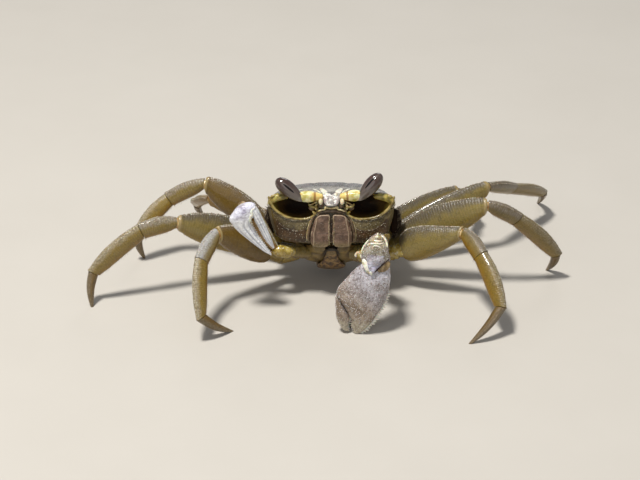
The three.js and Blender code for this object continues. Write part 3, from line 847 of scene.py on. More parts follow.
def lid_place(t, turn, proud=0.0):
    """A place on the lid: t from front to rear, turn from the left edge over to the right."""
    half, seam = body_half_width(t), seam_height(t)
    c, s = rounded(turn, lid_boxiness(t))
    x = half * c
    groove = 0.28 * np.exp(-((np.abs(x) - 5.2 - 1.4 * np.cos(t * 7)) / 0.75) ** 2)
    groove = groove * np.clip((t - 0.2) * 6, 0, 1) * np.clip((0.85 - t) * 6, 0, 1)
    groove += 0.3 * np.exp(-(x / 1.6) ** 2) * np.exp(-((t - 0.1) / 0.09) ** 2)
    z = seam + s * (lid_height(t) - seam) - groove * s
    return on_body(x + proud * c, FRONT + (REAR - FRONT) * t, z + proud * s)


def on_lid(x, y, proud):
    """A place on top of the lid, at millimetres across and behind the middle."""
    t = (np.asarray(y, float) - FRONT) / (REAR - FRONT)
    share = np.abs(np.asarray(x, float)) / body_half_width(t)
    return lid_place(t, np.arccos(np.sign(x) * share ** (lid_boxiness(t) / 2)), proud)


SOCKET_MIDDLE = np.array([9.8, 5.75])
SOCKET_DEEP = 5.4
SOCKET_EDGE = [(16.7, 8.2), (16.25, 6.5), (15.1, 5.05), (13.2, 3.7), (10.8, 2.9), (7.9, 2.7),
               (5.7, 3.15), (4.4, 4.1), (3.85, 5.3), (3.6, 7.0), (4.2, 8.6), (6.5, 9.35),
               (10, 9.6), (13.5, 9.4), (15.7, 9.0)]


def loop_through(points, t):
    """Smooth closed outline through points, read at t from 0 to 1."""
    count = len(points)
    wrapped = [points[(k - 2) % count] for k in range(count + 5)]
    place = (np.asarray(t, float) * count + 2) / (len(wrapped) - 1)
    return curve(wrapped, place)


def socket_edge(t):
    """The outline of an eye socket on the face: t from the outer tooth under and round."""
    return loop_through(SOCKET_EDGE, t)


SOCKET_RING = socket_edge(np.linspace(0, 1, 96, endpoint=False))


def face_front(x, z):
    """How far forward the face bulges at a place across and up, in millimetres."""
    across = np.clip(1 - (np.abs(x) / 16.9) ** 4, 0, 1)
    cheek = np.exp(-((np.abs(x) - 10.0) / 5.5) ** 2 - ((z + 1.0) / 3.4) ** 2)
    return FRONT - 0.15 - (0.45 * across + 0.55 * cheek) * np.clip((7.5 - z) / 4, 0, 1)


def on_face(side, places, back):
    """A path over the face, through places across and up, at a distance behind its skin."""
    x, z = places.T
    return on_body(side * x, face_front(x, z) + back, z)


def bowl_ring(side, depth, size=1.0, back=0.0):
    """One outline of an eye socket's bowl, at a depth behind its opening."""
    k = math.sqrt(max(0.0, 1 - (max(depth, 0) / SOCKET_DEEP) ** 2)) * size
    ring = SOCKET_MIDDLE + (SOCKET_RING - SOCKET_MIDDLE) * k
    return on_body(side * ring[:, 0], FRONT - 0.3 + depth + back, ring[:, 1])


def socket_tool(side):
    """The bowl that hollows one eye socket out of the face."""
    depths = [-4.0, -2.0] + [SOCKET_DEEP * math.sin(a) for a in
                             np.linspace(0, math.pi / 2, 21)[:-1]]
    return skin_mesh("socket_tool", [bowl_ring(side, depth) for depth in depths], {})


def carve(mesh, tools):
    """The mesh with each tool's shape cut out of it."""
    body = stand("carved", mesh)
    cutters = []
    for tool in tools:
        cutter = stand("cutter", tool)
        cutters.append(cutter)
        cut = body.modifiers.new("cut", "BOOLEAN")
        cut.operation = "DIFFERENCE"
        cut.solver = "EXACT"
        cut.object = cutter
    result = plain_mesh(body)
    for cutter in cutters:
        bpy.data.objects.remove(cutter)
    bpy.data.objects.remove(body)
    return result


CHEEK_SEAM = [(14.9, 2.6), (14.3, 1.6), (12.8, 0.45), (10.9, -0.3), (8.7, -0.5), (6.8, 0.05),
              (5.5, 1.15), (4.75, 2.2)]


def body_marks(mesh):
    """Marks on a body shell: in a socket, above the cheek seam, how high, across and back."""
    places = np.empty(len(mesh.vertices) * 3)
    mesh.vertices.foreach_get("co", places)
    places = places.reshape(-1, 3) / MM - np.array(under_body) / MM - [0, 0, BODY_HEIGHT]
    c, s = math.cos(PITCH), math.sin(PITCH)
    x = np.abs(places[:, 0])
    y = places[:, 1] * c - places[:, 2] * s
    z = places[:, 1] * s + places[:, 2] * c
    ring = socket_edge(np.linspace(0, 1, 400, endpoint=False)) - SOCKET_MIDDLE
    bearing = np.arctan2(ring[:, 1], ring[:, 0])
    order = np.argsort(bearing)
    reach = np.interp(np.arctan2(z - SOCKET_MIDDLE[1], x - SOCKET_MIDDLE[0]), bearing[order],
                      np.hypot(ring[:, 0], ring[:, 1])[order], period=2 * math.pi)
    away = np.hypot(x - SOCKET_MIDDLE[0], z - SOCKET_MIDDLE[1]) / reach
    depth = y - FRONT + 0.3
    bowl = np.sqrt(np.clip(1 - (np.clip(depth, 0, None) / SOCKET_DEEP) ** 2, 0, 1))
    inside = (np.abs(away - bowl) < 0.03) & (depth > -1.2) & (depth < SOCKET_DEEP)
    seam = np.array(CHEEK_SEAM[::-1])
    values = {"socket": inside * 1.0, "across": x / HALF_WIDTH,
              "back": (y - FRONT) / (REAR - FRONT), "high": z / 10.0,
              "above_seam": z - np.interp(x, seam[:, 0], seam[:, 1])}
    for name, numbers in values.items():
        layer = mesh.attributes.new(name, "FLOAT", "POINT")
        layer.data.foreach_set("value", numbers.astype(np.float32))
    return mesh


def closed(outer, count):
    """A section line closed by a straight row of points back to its start."""
    return np.vstack([outer, outer[-1] + (outer[0] - outer[-1])
                      * np.linspace(0, 1, count)[1:-1, None]])


def hull_rings(section, rows):
    """Closed rings of half a body hull: its curved side, then straight back inside."""
    front = EDGE_ROUND / (REAR - FRONT)
    ts = [(front * (1 - math.cos(a * math.pi / 2)), EDGE_ROUND * (1 - math.sin(a * math.pi / 2)))
          for a in (0.0, 0.25, 0.5, 0.75)]
    ts += [(t, 0.0) for t in np.linspace(front, 1 - REAR_ROUND, rows)]
    ts += [(1 - REAR_ROUND * (1 - math.sin(a)), 0.9 * (1 - math.cos(a))) for a in (0.4, 0.8, 1.2)]
    return [closed(section(t, inset), 60) for t, inset in ts]


def body_shell(name, rings):
    """A body shell with the eye sockets hollowed out, its marks, and sharp socket edges."""
    mesh = body_marks(carve(skin_mesh(name, rings, {}), [socket_tool(1), socket_tool(-1)]))
    mesh.shade_smooth()
    mesh.set_sharp_from_angle(angle=math.radians(42))
    return mesh


def lid_section(t, inset):
    turn = np.linspace(0, math.pi, 121)
    edge = lid_place(t, turn)
    middle = edge.mean(0)
    half = body_half_width(t) * MM
    edge = middle + (edge - middle) * (1 - inset * MM / half)
    return edge + body_way(0, 0, 0.15)


lid_mesh = body_shell("carapace", hull_rings(lid_section, 90))
look = Finish("carapace shell", (0.2, 0.25), (0.05, 0.0008, (0.7, 0.6, 0.5)))
blotch = look.noise(330.0, 5.0, 0.65)
speck = look.noise(1300.0, 3.0)
back = look.attribute("back")
outer = look.attribute("across").step(0.72, 0.9)
in_front = 1 - back.step(0.0, 0.09)
look.paint(
    blotch.step(0.36, 0.58).mix((0.14, 0.13, 0.115), (0.4, 0.385, 0.35)),
    ((back + (blotch - 0.5) * 0.25).step(0.24, 0.34),
     blotch.step(0.38, 0.62).mix((0.05, 0.05, 0.057), (0.185, 0.185, 0.2))),
    (speck.step(0.56, 0.66) * 0.8, (0.05, 0.045, 0.04)),
    ((1 - look.cells(1500.0).step(0.14, 0.28)) * 0.55, (0.6, 0.58, 0.52)),
    ((1 - look.cells(480.0).step(0.12, 0.2)) * 0.85, (0.02, 0.018, 0.016)),
    (outer * in_front * 0.8, (0.26, 0.2, 0.045)),
    # Dark brown on the socket's cut faces: painted shade, as in the lining.
    (look.attribute("socket"), (0.1, 0.06, 0.015)), Roughness=0.32 + 0.3 * blotch)
look.bump(look.cells(2100.0) * 0.8 + speck * 0.7 + blotch * 2.0, 0.00014, 0.9)
part("carapace_shell", lid_mesh, look, "carapace", "carapace")


def granules(name, surface, finish, slot, apart, size, seed, squash=0.55, mark=None, keep=None):
    """Low rounded grains strewn over a surface. A mark on it may thin them out."""
    recipe = Recipe(name, seed, finish)
    sockets = {"Mesh": recipe.surface, "Seed": recipe.seed, "Density Max": 3.0e6 / apart ** 2,
               "Distance Min": recipe.input("Spacing", "Float", apart * MM)}
    if mark:
        sockets["Density Factor"] = recipe.node(
            "ShaderNodeMapRange", {"Value": recipe.named(mark, "FLOAT"), "From Min": keep[0],
                                   "From Max": keep[1]}, clamp=True)
    spots = recipe.node("GeometryNodeDistributePointsOnFaces", sockets,
                        distribute_method="POISSON")
    grain = recipe.node("GeometryNodeMeshIcoSphere", {"Radius": 1.0, "Subdivisions": 1})
    scale = recipe.vary(0.5, 1.3) * recipe.input("Grain size", "Float", size * MM)
    placed = recipe.node("GeometryNodeInstanceOnPoints",
                         {"Points": spots, "Instance": grain, "Rotation": spots["Rotation"],
                          "Scale": recipe.scaled((1.0, 1.0, squash), scale)})
    return recipe.grow(surface, recipe.realize(placed), slot)


grain_finish = mottled("shell grains", (500.0,), (0.42, 0.66), (0.17, 0.165, 0.155),
                       (0.62, 0.6, 0.54), (0.3, 0.2), (0.1, 0.0005), 0.3)
granules("carapace_grains", lid_mesh, grain_finish, "carapace", 0.5, 0.12, 5, 0.5,
         "socket", (0.5, 0.0))


def bar(name, path, radii, finish, slot, flatten=1.0, around=14, up=(0, -1, 0)):
    """A smooth rounded bar that follows a path, with rounded ends."""
    path = np.asarray(path, float)
    count = max(16, 6 * len(path))
    t = np.linspace(0, 1, count)
    line = curve(path, t)
    radius = curve(radii, t) * MM
    radius = radius * np.minimum(1, np.sqrt(np.clip(np.minimum(t, 1 - t) * count / 3, 0.02, 1)))
    along = np.gradient(line, axis=0)
    along /= np.linalg.norm(along, axis=1)[:, None]
    towards = body_way(*up)
    rings = []
    turn = 2 * np.pi * np.arange(around) / around
    for middle, axis, r in zip(line, along, radius):
        side_way = unit(np.cross(axis, towards))
        forward = np.cross(side_way, axis)
        rings.append(middle + np.outer(np.cos(turn) * r, side_way)
                     + np.outer(np.sin(turn) * r * flatten, forward))
    return skin(name, rings, {}, finish, slot)


def with_way(path, way):
    """A path whose points also say which way is out."""
    path = np.asarray(path, float)
    return np.hstack([path, np.broadcast_to(np.asarray(way, float), path.shape)])


def pair(name, points, *rest, **more):
    """A bar on each side of the body, through places given for the left side."""
    for side, word in SIDES:
        bar(f"{name}_{word}", [on_body(side * x, y, z) for x, y, z in points], *rest, **more)


rim_finish = mottled("socket rim", (420.0, 3.0), (0.35, 0.65), (0.2, 0.14, 0.02),
                     (0.4, 0.32, 0.1), (0.35, 0.15), (0.2, 0.0008), 0.3)
rim_finish.bump(rim_finish.cells(2600.0) + rim_finish.noise(420.0, 3.0) * 2.0, 0.0001, 0.7)
lid_rim_finish = mottled("carapace edge", (600.0,), None, (0.3, 0.27, 0.17), (0.62, 0.58, 0.46),
                         (0.2, 0.3), (0.08, 0.0005))
lid_rim_finish.bump(lid_rim_finish.cells(2600.0), 0.00008, 0.7)
# The socket lining is olive at its rim and darkens to near black deep in the socket: painted shade.
lining_finish = Finish("socket lining", (), (0.1, 0.0008), Specular_IOR_Level=0.15)
deep = lining_finish.attribute("deep")
shade = lining_finish.noise(300.0)
lining_finish.paint((0.34, 0.24, 0.04),
                    ((deep + (shade - 0.5) * 0.3).step(0.02, 0.3), (0.1, 0.055, 0.014)),
                    ((deep + (shade - 0.5) * 0.2).step(0.3, 0.75), (0.018, 0.01, 0.005)),
                    Roughness=0.5 + 0.3 * shade)
lining_finish.bump(shade + lining_finish.noise(1400.0), 0.0002, 0.8)


def upper_margin(side, x):
    """The carapace's front edge over an eye socket, at a distance across."""
    edge = socket_edge(np.linspace(0.6, 1.0, 200))
    order = np.argsort(edge[:, 0])
    opening = np.interp(x, edge[order, 0], edge[order, 1])
    top = lid_height(0.02) + 0.05
    reach = (opening - SOCKET_MIDDLE[1])
    k = np.clip((top - SOCKET_MIDDLE[1]) / np.maximum(reach, 1e-3), 0, 1)
    y = FRONT - 0.3 + SOCKET_DEEP * np.sqrt(1 - k ** 2)
    return on_body(side * x, y, np.minimum(opening, top))


for side, word in SIDES:
    sweep = np.linspace(0, math.pi / 2, 24)
    inner = [bowl_ring(side, SOCKET_DEEP * math.sin(a), 0.985, -0.07) for a in sweep[-2::-1]]
    outer_bowl = [bowl_ring(side, SOCKET_DEEP * math.sin(a), 1.02, 0.4) for a in sweep[:-1]]
    corner = np.clip((SOCKET_RING[:, 0] - 13.0) / 3.0, 0, 1)
    # How deep each ring lies in the socket, which the lining's finish turns into painted shade.
    depths = [np.clip(math.sin(a) - 0.35 * corner, 0, 1) for a in sweep[-2::-1]]
    depths += [np.ones(96)] * len(outer_bowl)
    skin(f"socket_lining_{word}", inner + outer_bowl, {"deep": depths}, lining_finish, "face")
    xs = np.linspace(3.6, 15.6, 14)
    path = np.vstack([upper_margin(side, xs), on_body(side * 16.6, FRONT - 0.2, 8.6)])
    bar(f"upper_socket_edge_{word}", path, [0.26, 0.24, 0.26, 0.34, 0.44, 0.46], rim_finish,
        "carapace")
    bead_row(f"upper_socket_beads_{word}", with_way(path, body_way(0, -0.7, 0.7)), 48, 0.11,
             lid_rim_finish, "carapace", 3)
    ts = np.linspace(0.02, 0.93, 90)
    ridge = on_body(side * (body_half_width(ts) + 0.02), FRONT + (REAR - FRONT) * ts,
                    seam_height(ts) + 0.55)
    bar(f"side_ridge_{word}", ridge[::6], [0.36, 0.32, 0.3, 0.28, 0.2], lid_rim_finish, "carapace")
    bead_row(f"side_beads_{word}", with_way(ridge, (side, 0, 0.3)), 96, 0.17, lid_rim_finish,
             "carapace", 4)
pair("outer_tooth", ((16.1, -13.6, 7.6), (16.5, -14.3, 8.0), (16.9, -14.9, 8.5),
                     (17.15, -15.3, 9.1)), [0.75, 0.66, 0.42, 0.12], rim_finish, "carapace")


# ------------------------------------------------------------------ beak and pale marks
# Between the eyes the carapace turns down into a short granular beak of pale mottled shell.
# A cream knob sits on each side, and cream streaks run back from it over the carapace.
BEAK = [(-10.5, 8.7, 2.3, 1.0), (-13.6, 9.0, 2.35, 1.0), (-15.2, 8.9, 2.35, 0.95),
        (-16.1, 8.05, 2.25, 0.85), (-16.6, 7.15, 1.85, 0.7), (-16.65, 6.55, 1.15, 0.4)]
ts = np.linspace(0, 1, 40)
columns = curve(BEAK, ts).T
rings, across_marks = [], []
turn = 2 * np.pi * np.arange(36) / 36
c, s = rounded(turn, 2.8)
for k, t in enumerate(ts):
    y, z, half, thick = (column[k] for column in columns)
    after, before = min(k + 1, 39), max(k - 1, 0)
    dy, dz = columns[0][after] - columns[0][before], columns[1][after] - columns[1][before]
    size = math.hypot(dy, dz)
    ny, nz = dz / size, -dy / size
    dish = -0.35 * (1 - c ** 2) * np.clip(s, 0, 1) * bell((t - 0.35) / 0.7)
    push = s * thick / 2 + dish
    rings.append(on_body(half * c, y - 0.1 - ny * push, z + 0.1 - nz * push))
    across_marks.append(half * c)
beak_mesh = skin_mesh("beak", rings, {"along": np.repeat(ts[:, None], 36, axis=1),
                                      "across": across_marks})
look = Finish("beak shell", (0.35, 0.2), (0.1, 0.0006))
mottle = look.noise(900.0)
along = look.attribute("along")
wide = look.node("ShaderNodeMath", {0: look.attribute("across")}, operation="ABSOLUTE")
notch = 1 - (wide + (along - 0.25) * 4.0 + (mottle - 0.5) * 0.8).step(0.4, 0.9)
cheeks = wide.step(1.0, 1.7) * along.step(0.45, 0.6)
look.paint((0.34, 0.3, 0.28), (mottle.step(0.4, 0.6), (0.9, 0.88, 0.82)),
           (notch, (0.07, 0.065, 0.06)), (cheeks * 0.75, (0.22, 0.15, 0.15)),
           (1 - look.cells(1300.0).step(0.12, 0.24), (0.05, 0.04, 0.035)),
           (along.step(0.86, 0.95) * 0.7, (0.6, 0.55, 0.45)),
           Roughness=0.22 + 0.25 * mottle)
look.bump(look.cells(2200.0) + mottle * 1.5, 0.00014, 0.8)
part("beak_shell", beak_mesh, look, "carapace")
granules("beak_grains", beak_mesh, grain_finish, "carapace", 0.42, 0.1, 9)

cream_finish = mottled("cream marks", (900.0,), (0.34, 0.5), (0.5, 0.44, 0.28),
                       (0.9, 0.87, 0.74), (0.3, 0.15), (0.15, 0.0006), Roughness=0.4)
cream_finish.bump(cream_finish.cells(2400.0) + cream_finish.noise(900.0), 0.00014, 0.8)
knob_finish = mottled("cream knobs", (700.0,), None, (0.6, 0.48, 0.24), (0.9, 0.82, 0.6),
                      (0.5, 0.1), (0.3, 0.0008), relief=(1500.0, 0.00008, 0.6))
pair("antennule", ((2.75, -16.3, 8.55), (2.9, -16.7, 8.1), (2.9, -16.85, 7.6), (2.7, -16.7, 7.1)),
     [0.38, 0.6, 0.58, 0.36], knob_finish, "face")
pair("cream_tip", ((1.0, -15.7, 8.95), (1.15, -15.2, 9.35), (1.35, -14.3, 9.5)),
     [0.3, 0.55, 0.6], cream_finish, "carapace", 0.6, up=(0, 0, 1))
for side, word in SIDES:
    for name, points, radii in (
            ("cream_streak", ((1.3, -14.4), (1.6, -12.8), (2.1, -10.4), (2.9, -7.6)),
             [0.45, 0.8, 0.85, 0.5]),
            ("cream_brow", ((2.9, -12.4), (3.9, -10.0), (5.2, -7.8)), [0.2, 0.42, 0.3]),
            ("cream_flank", ((7.4, -8.4), (9.4, -8.6), (11.6, -9.6)), [0.2, 0.4, 0.2])):
        bar(f"{name}_{word}", [on_lid(side * x, y, 0.12) for x, y in points], radii,
            cream_finish, "carapace", 0.3, up=(0, 0, 1))


# ------------------------------------------------------------------ lower shell and face
# The lower shell carries the face: an olive-grey band below each eye socket's thin cream rim,
# then a beaded seam, and below it full brown cheeks flecked with white.
FLOOR_LINE = [-4.2, -5.3, -5.4, -5.2, -4.7, -3.9, -2.7, -0.9]


def lower_section(t, inset):
    half, seam = body_half_width(t), seam_height(t)
    depth = curve(FLOOR_LINE, t)
    c, s = rounded(np.linspace(0, -math.pi, 121), curve([4.5, 4, 3.4, 3, 2.8, 2.6, 2.6], t))
    shrink = 1 - inset / half
    base = seam - 0.15
    waist = 1 - 0.06 * np.exp(-((s + 0.52) / 0.3) ** 2) * (1 - t) ** 2
    x, z = half * c * shrink * waist, base + s * (base - depth) * shrink
    return on_body(x, FRONT + (REAR - FRONT) * t, z)


hull = hull_rings(lower_section, 60)
face_rings = []
middle = on_body(0, FRONT, 0.6)
for k in np.linspace(0.03, 1, 40)[:-1]:
    ring = middle + (np.array(hull[0]) - middle) * k
    flat = (ring - np.array(under_body)) / MM - [0, 0, BODY_HEIGHT]
    z = flat[:, 1] * math.sin(PITCH) + flat[:, 2] * math.cos(PITCH)
    face_rings.append(on_body(flat[:, 0], FRONT + (face_front(flat[:, 0], z) - FRONT)
                              * math.sqrt(1 - k ** 6), z))
face_mesh = body_shell("lower_shell", face_rings + hull)
look = Finish("face shell", (0.25, 0.2), (0.06, 0.0008, (0.8, 0.6, 0.35)),
              Specular_IOR_Level=0.35)
blotch = look.noise(320.0, 5.0, 0.62)
fine = look.noise(1600.0, 2.0)
spread = blotch.step(0.38, 0.62)
look.paint(
    spread.mix((0.044, 0.021, 0.006), (0.09, 0.046, 0.014)),
    ((look.attribute("above_seam") + (blotch - 0.5) * 0.8).step(-0.1, 0.4),
     spread.mix((0.08, 0.058, 0.02), (0.165, 0.125, 0.052))),
    (look.attribute("across").step(0.86, 0.98) * 0.6, (0.21, 0.15, 0.035)),
    (fine.step(0.54, 0.66) * 0.65, (0.028, 0.016, 0.008)),
    ((1 - look.cells(1250.0).step(0.09, 0.17)) * 0.8, (0.55, 0.5, 0.38)),
    ((-1.0 * look.attribute("high")).step(0.38, 0.48), (0.26, 0.19, 0.06)),
    # Dark brown on the socket's cut faces: painted shade, as in the lining.
    (look.attribute("socket"), (0.12, 0.08, 0.02)), Roughness=0.3 + 0.3 * blotch)
look.bump(look.cells(1700.0) * 0.8 + fine * 0.8 + blotch * 1.5, 0.00018, 0.9)
part("lower_body_shell", face_mesh, look, "face", "lower_shell")

lip_finish = mottled("socket lip", (600.0,), (0.38, 0.6), (0.16, 0.12, 0.02), (0.46, 0.37, 0.08),
                     (0.3,), (0.2, 0.0008), Roughness=0.3, relief=(1400.0, 0.00015, 0.8))
face_grain_finish = mottled("face grains", (1400.0,), (0.46, 0.62), (0.1, 0.07, 0.035),
                            (0.62, 0.56, 0.42), (0.3,), (0.1, 0.0005), Roughness=0.3)
granules("face_grains", face_mesh, face_grain_finish, "face", 0.62, 0.095, 12, 0.55,
         "socket", (0.5, 0.0))

face_rim_finish = mottled("lower socket rim", (520.0,), (0.4, 0.62), (0.13, 0.085, 0.014),
                          (0.4, 0.31, 0.1), (0.35, 0.12), (0.15, 0.0006), Roughness=0.3,
                          relief=(1500.0, 0.0001, 0.8))
for side, word in SIDES:
    rim = on_face(side, socket_edge(np.linspace(-0.01, 0.56, 26)), -0.05)
    bar(f"lower_socket_rim_{word}", rim, [0.52, 0.46, 0.36, 0.33, 0.32, 0.3, 0.3],
        face_rim_finish, "face", 1.1)
    low = socket_edge(np.linspace(0.0, 0.54, 60))
    away = low - SOCKET_MIDDLE
    away /= np.linalg.norm(away, axis=1)[:, None]
    for row, (apart, count, size) in enumerate(((0.4, 70, 0.1), (0.85, 60, 0.08))):
        path = on_face(side, low + away * apart, -0.3 + row * 0.25)
        bead_row(f"lower_rim_beads{row}_{word}", with_way(path, (0, -1, 0)), count, size,
                 face_grain_finish, "face", 6 + row)
    path = on_face(side, curve(CHEEK_SEAM, np.linspace(0.16, 1, 60)), -0.1)
    bead_row(f"cheek_seam_beads_{word}", with_way(path, (0, -1, 0)), 30, 0.13, face_grain_finish,
             "face", 8)
    lip = np.array([(16.8, 6.3), (16.3, 7.6), (15.0, 8.45), (13.4, 8.75), (11.4, 8.8)])
    bar(f"outer_socket_lip_{word}", on_face(side, lip, 0.3), [0.5, 0.95, 1.1, 0.95, 0.5],
        lip_finish, "face", 0.9)


# ------------------------------------------------------------------ mouth frame and antennae
# A pale scalloped arch roofs the mouth over a brown bar. Beside it the short antennae fold
# into the inner corner of each eye socket, and thin brown palps edge the mouth plates.
roof_finish = mottled("mouth frame shell", (800.0,), (0.35, 0.6), (0.42, 0.3, 0.1),
                      (0.82, 0.7, 0.4), (0.4, 0.12), (0.12, 0.0006), 0.25,
                      (2000.0, 0.0001, 0.6))
palp_finish = mottled("mouth palps", (700.0,), (0.38, 0.62), (0.07, 0.04, 0.018),
                      (0.19, 0.125, 0.065), (0.3, 0.15), relief=(1500.0, 0.00012, 0.7),
                      Roughness=0.3)
ARCH = ((0, 5.85, 0.26), (1.0, 5.95, 0.3), (1.5, 6.15, 0.4), (1.85, 5.6, 0.26), (2.9, 5.35, 0.24),
        (3.75, 4.9, 0.18))
CROSSBAR = ((0, 5.0, 0.6), (2.1, 4.75, 0.5), (3.5, 4.3, 0.3))
for name, half, forward, finish in (("mouth_roof_arch", ARCH, -16.0, roof_finish),
                                    ("mouth_roof_bar", CROSSBAR, -15.25, palp_finish)):
    whole = [(-x, z, radius) for x, z, radius in half[:0:-1]] + list(half)
    bar(name, [on_body(x, forward, z) for x, z, _ in whole], [radius for *_, radius in whole],
        finish, "face")
for name, points, radii, finish in (
        ("antennule_lump", ((2.3, -15.8, 6.9), (2.8, -16.1, 6.6), (3.2, -15.9, 6.2)),
         [0.5, 0.7, 0.4], palp_finish),
        ("antenna_strip", ((3.85, -15.2, 7.0), (4.3, -15.5, 6.2), (4.15, -15.5, 5.3)),
         [0.22, 0.34, 0.28], roof_finish),
        ("antenna_hook", ((3.7, -15.5, 6.0), (4.9, -15.7, 6.15), (5.8, -15.7, 6.5),
                          (6.2, -15.4, 7.1)), [0.3, 0.38, 0.34, 0.16], rim_finish),
        ("antenna_whip", ((3.9, -15.6, 7.5), (4.6, -15.8, 7.3), (5.4, -15.9, 6.9),
                          (6.2, -15.9, 6.8)), [0.22, 0.2, 0.14, 0.06], roof_finish),
        ("antenna_base", ((5.0, -14.9, 5.2), (5.5, -15.2, 5.8), (6.1, -15.0, 6.1)),
         [0.45, 0.7, 0.45], palp_finish),
        ("socket_hook", ((4.2, -15.2, 3.9), (4.8, -15.4, 4.5), (5.1, -15.4, 5.1)),
         [0.34, 0.34, 0.18], rim_finish),
        ("outer_palp", ((4.3, -15.2, 3.9), (5.3, -15.55, 2.5), (5.95, -15.7, 0.6),
                        (6.3, -15.65, -1.6), (6.2, -15.3, -3.8)),
         [0.26, 0.36, 0.4, 0.38, 0.25], palp_finish),
        ("palp_edge", ((4.55, -15.35, 3.9), (5.6, -15.6, 2.5), (6.3, -15.75, 0.6),
                       (6.68, -15.65, -1.6), (6.6, -15.3, -3.6)),
         [0.08, 0.13, 0.13, 0.12, 0.07], roof_finish)):
    pair(name, points, radii, finish, "face")


# ------------------------------------------------------------------ mouth plates
# Two pairs of thin hinged plates close over the mouth like doors. Each has a raised pale line
# near its outer edge, and beads and short bristles along the dark slit between the doors.
plate_finish = Finish("mouth plates", (0.3, 0.15), (0.08, 0.0007, (0.8, 0.5, 0.35)))
blotch = plate_finish.noise(520.0, 5.0, 0.62)
plate_finish.paint(
    (0.085, 0.045, 0.024), (blotch.step(0.38, 0.62), (0.19, 0.112, 0.07)),
    ((1 - plate_finish.cells(1500.0).step(0.08, 0.17)) * 0.65, (0.5, 0.42, 0.34)),
    # Pale raised line and upper rim; the upper rim's pale band is partly pale shell and partly
    # painted highlight.
    (plate_finish.attribute("rise").step(0.3, 0.9) * 0.75, (0.44, 0.33, 0.22)),
    ((1 - plate_finish.attribute("height").step(-4.6, -3.0)) * 0.6, (0.2, 0.15, 0.06)),
    Roughness=0.25 + 0.3 * blotch)
plate_finish.bump(plate_finish.cells(2000.0) + blotch * 2.0, 0.00014, 0.8)


def mouth_plate(name, side, outline, lift, keel, nodes):
    """A domed plate inside an outline of places across and up."""
    edge = loop_through(outline, np.linspace(0, 1, 96, endpoint=False))
    middle = edge.mean(0)
    rings, rises, heights = [], [], []
    profile = [(1.0, -1.0), (1.0, -0.5), (0.995, 0.0), (0.98, 0.25), (0.95, 0.42), (0.91, 0.5),
               (0.86, 0.47), (0.8, 0.44)]
    profile += [(k, 0.44 + 0.35 * (1 - k / 0.8) ** 0.7) for k in np.linspace(0.77, 0.04, 28)]
    for k, out in profile:
        ring = middle + (edge - middle) * k
        ridge = 0.2 * np.exp(-((ring[:, 0] - keel[0] - keel[1] * ring[:, 1]) / 0.22) ** 2)
        ridge = ridge * (1 if k < 0.97 else 0)
        rings.append(on_body(side * ring[:, 0], FRONT - lift - 0.5 - out * 0.55 - ridge,
                             ring[:, 1]))
        # The upper rim band, painted pale partly as a highlight along the top edge.
        top = np.clip((ring[:, 1] - middle[1]) / 2.2, 0.0, 1)
        rises.append(np.clip(ridge * 4.5 + (top if 0.88 < k < 0.99 else 0.0), 0, 1))
        heights.append(ring[:, 1])
    return skin(name, rings, {"rise": rises, "height": heights}, plate_finish, "face", *nodes)


fringe_finish = mottled("mouth bristles", (1500.0,), None, (0.05, 0.03, 0.018),
                        (0.3, 0.22, 0.13), Roughness=0.4, Specular_IOR_Level=0.3)
for side, word in SIDES:
    mouth_plate(f"upper_mouth_plate_{word}", side,
                [(0.45, 3.85), (1.9, 4.05), (3.4, 3.8), (4.4, 2.8), (5.0, 1.1), (5.35, -0.5),
                 (4.2, -1.05), (2.4, -1.1), (0.45, -0.95), (0.36, 1.5)], 0.92, (4.5, -0.2),
                [f"mouth_plate_{word}"])
    mouth_plate(f"lower_mouth_plate_{word}", side,
                [(0.42, -0.5), (2.9, -0.4), (5.2, -0.3), (5.65, -1.9), (5.6, -3.7), (4.9, -4.8),
                 (2.7, -5.15), (1.0, -4.8), (0.4, -3.4)], 0.8, (4.75, 0.0), [])
    z = np.linspace(3.3, -4.2, 60)
    inner_edge = on_body(side * (0.62 + 0.1 * np.cos(z * 0.6)), -16.3, z)
    bead_row(f"mouth_slit_beads_{word}", with_way(inner_edge, (0, -1, 0)), 40, 0.075, roof_finish,
             "face", 9)
    unwrap = np.stack([np.full_like(z, 0.004 * side), z * MM], axis=-1)
    line = np.hstack([with_way(on_body(side * 0.5, -16.1, z), (-side * 0.5, -1, 0)), unwrap])
    bristles(f"mouth_fringe_{word}", [line], 60, 0.5, 0.03, fringe_finish, "face", 15, 0.7)


# ------------------------------------------------------------------ eyes
# Each eye is a long glossy brown bulb on a short yellow-green stalk. A grey sheath wraps the
# root of the bulb, and the dark slit is what a viewer sees straight into.
EYES = {"left": ((7.9, -16.2, 8.8), (13.5, -15.4, 15.2)),
        "right": ((-8.4, -16.2, 8.5), (-14.9, -15.6, 13.8))}
SLITS = {"left": (0.37, 0.86, -0.42), "right": (0.35, 0.79, -0.1)}
cornea_finish = Finish("cornea", (1.0, 0.04), (0.04, 0.0006), IOR=1.5)
along = cornea_finish.attribute("along")
slit = cornea_finish.attribute("slit")
streak = cornea_finish.noise(420.0, stretch=(1.0, 1.0, 0.25))
hole = 1 - slit.step(0.85, 1.02)
cornea_finish.paint(
    (0.13, 0.105, 0.088), (along.step(0.2, 0.75), (0.062, 0.036, 0.028)),
    (streak.step(0.4, 0.65) * 0.5, (0.11, 0.085, 0.07)),
    ((1 - (along + (streak - 0.5) * 0.12).step(0.02, 0.2)) * 0.85, (0.3, 0.27, 0.25)),
    (cornea_finish.attribute("belly") * 0.6, (0.04, 0.016, 0.012)),
    ((1 - slit.step(1.0, 2.4)) * 0.4, (0.17, 0.14, 0.125)), (hole, (0.002, 0.001, 0.001)),
    Roughness=0.16 + 0.84 * hole, Coat_Weight=1 - hole)
stalk_finish = Finish("eyestalk skin", (0.5, 0.1), (0.2, 0.001))
shade = stalk_finish.noise(480.0, 5.0)
along = stalk_finish.attribute("along")
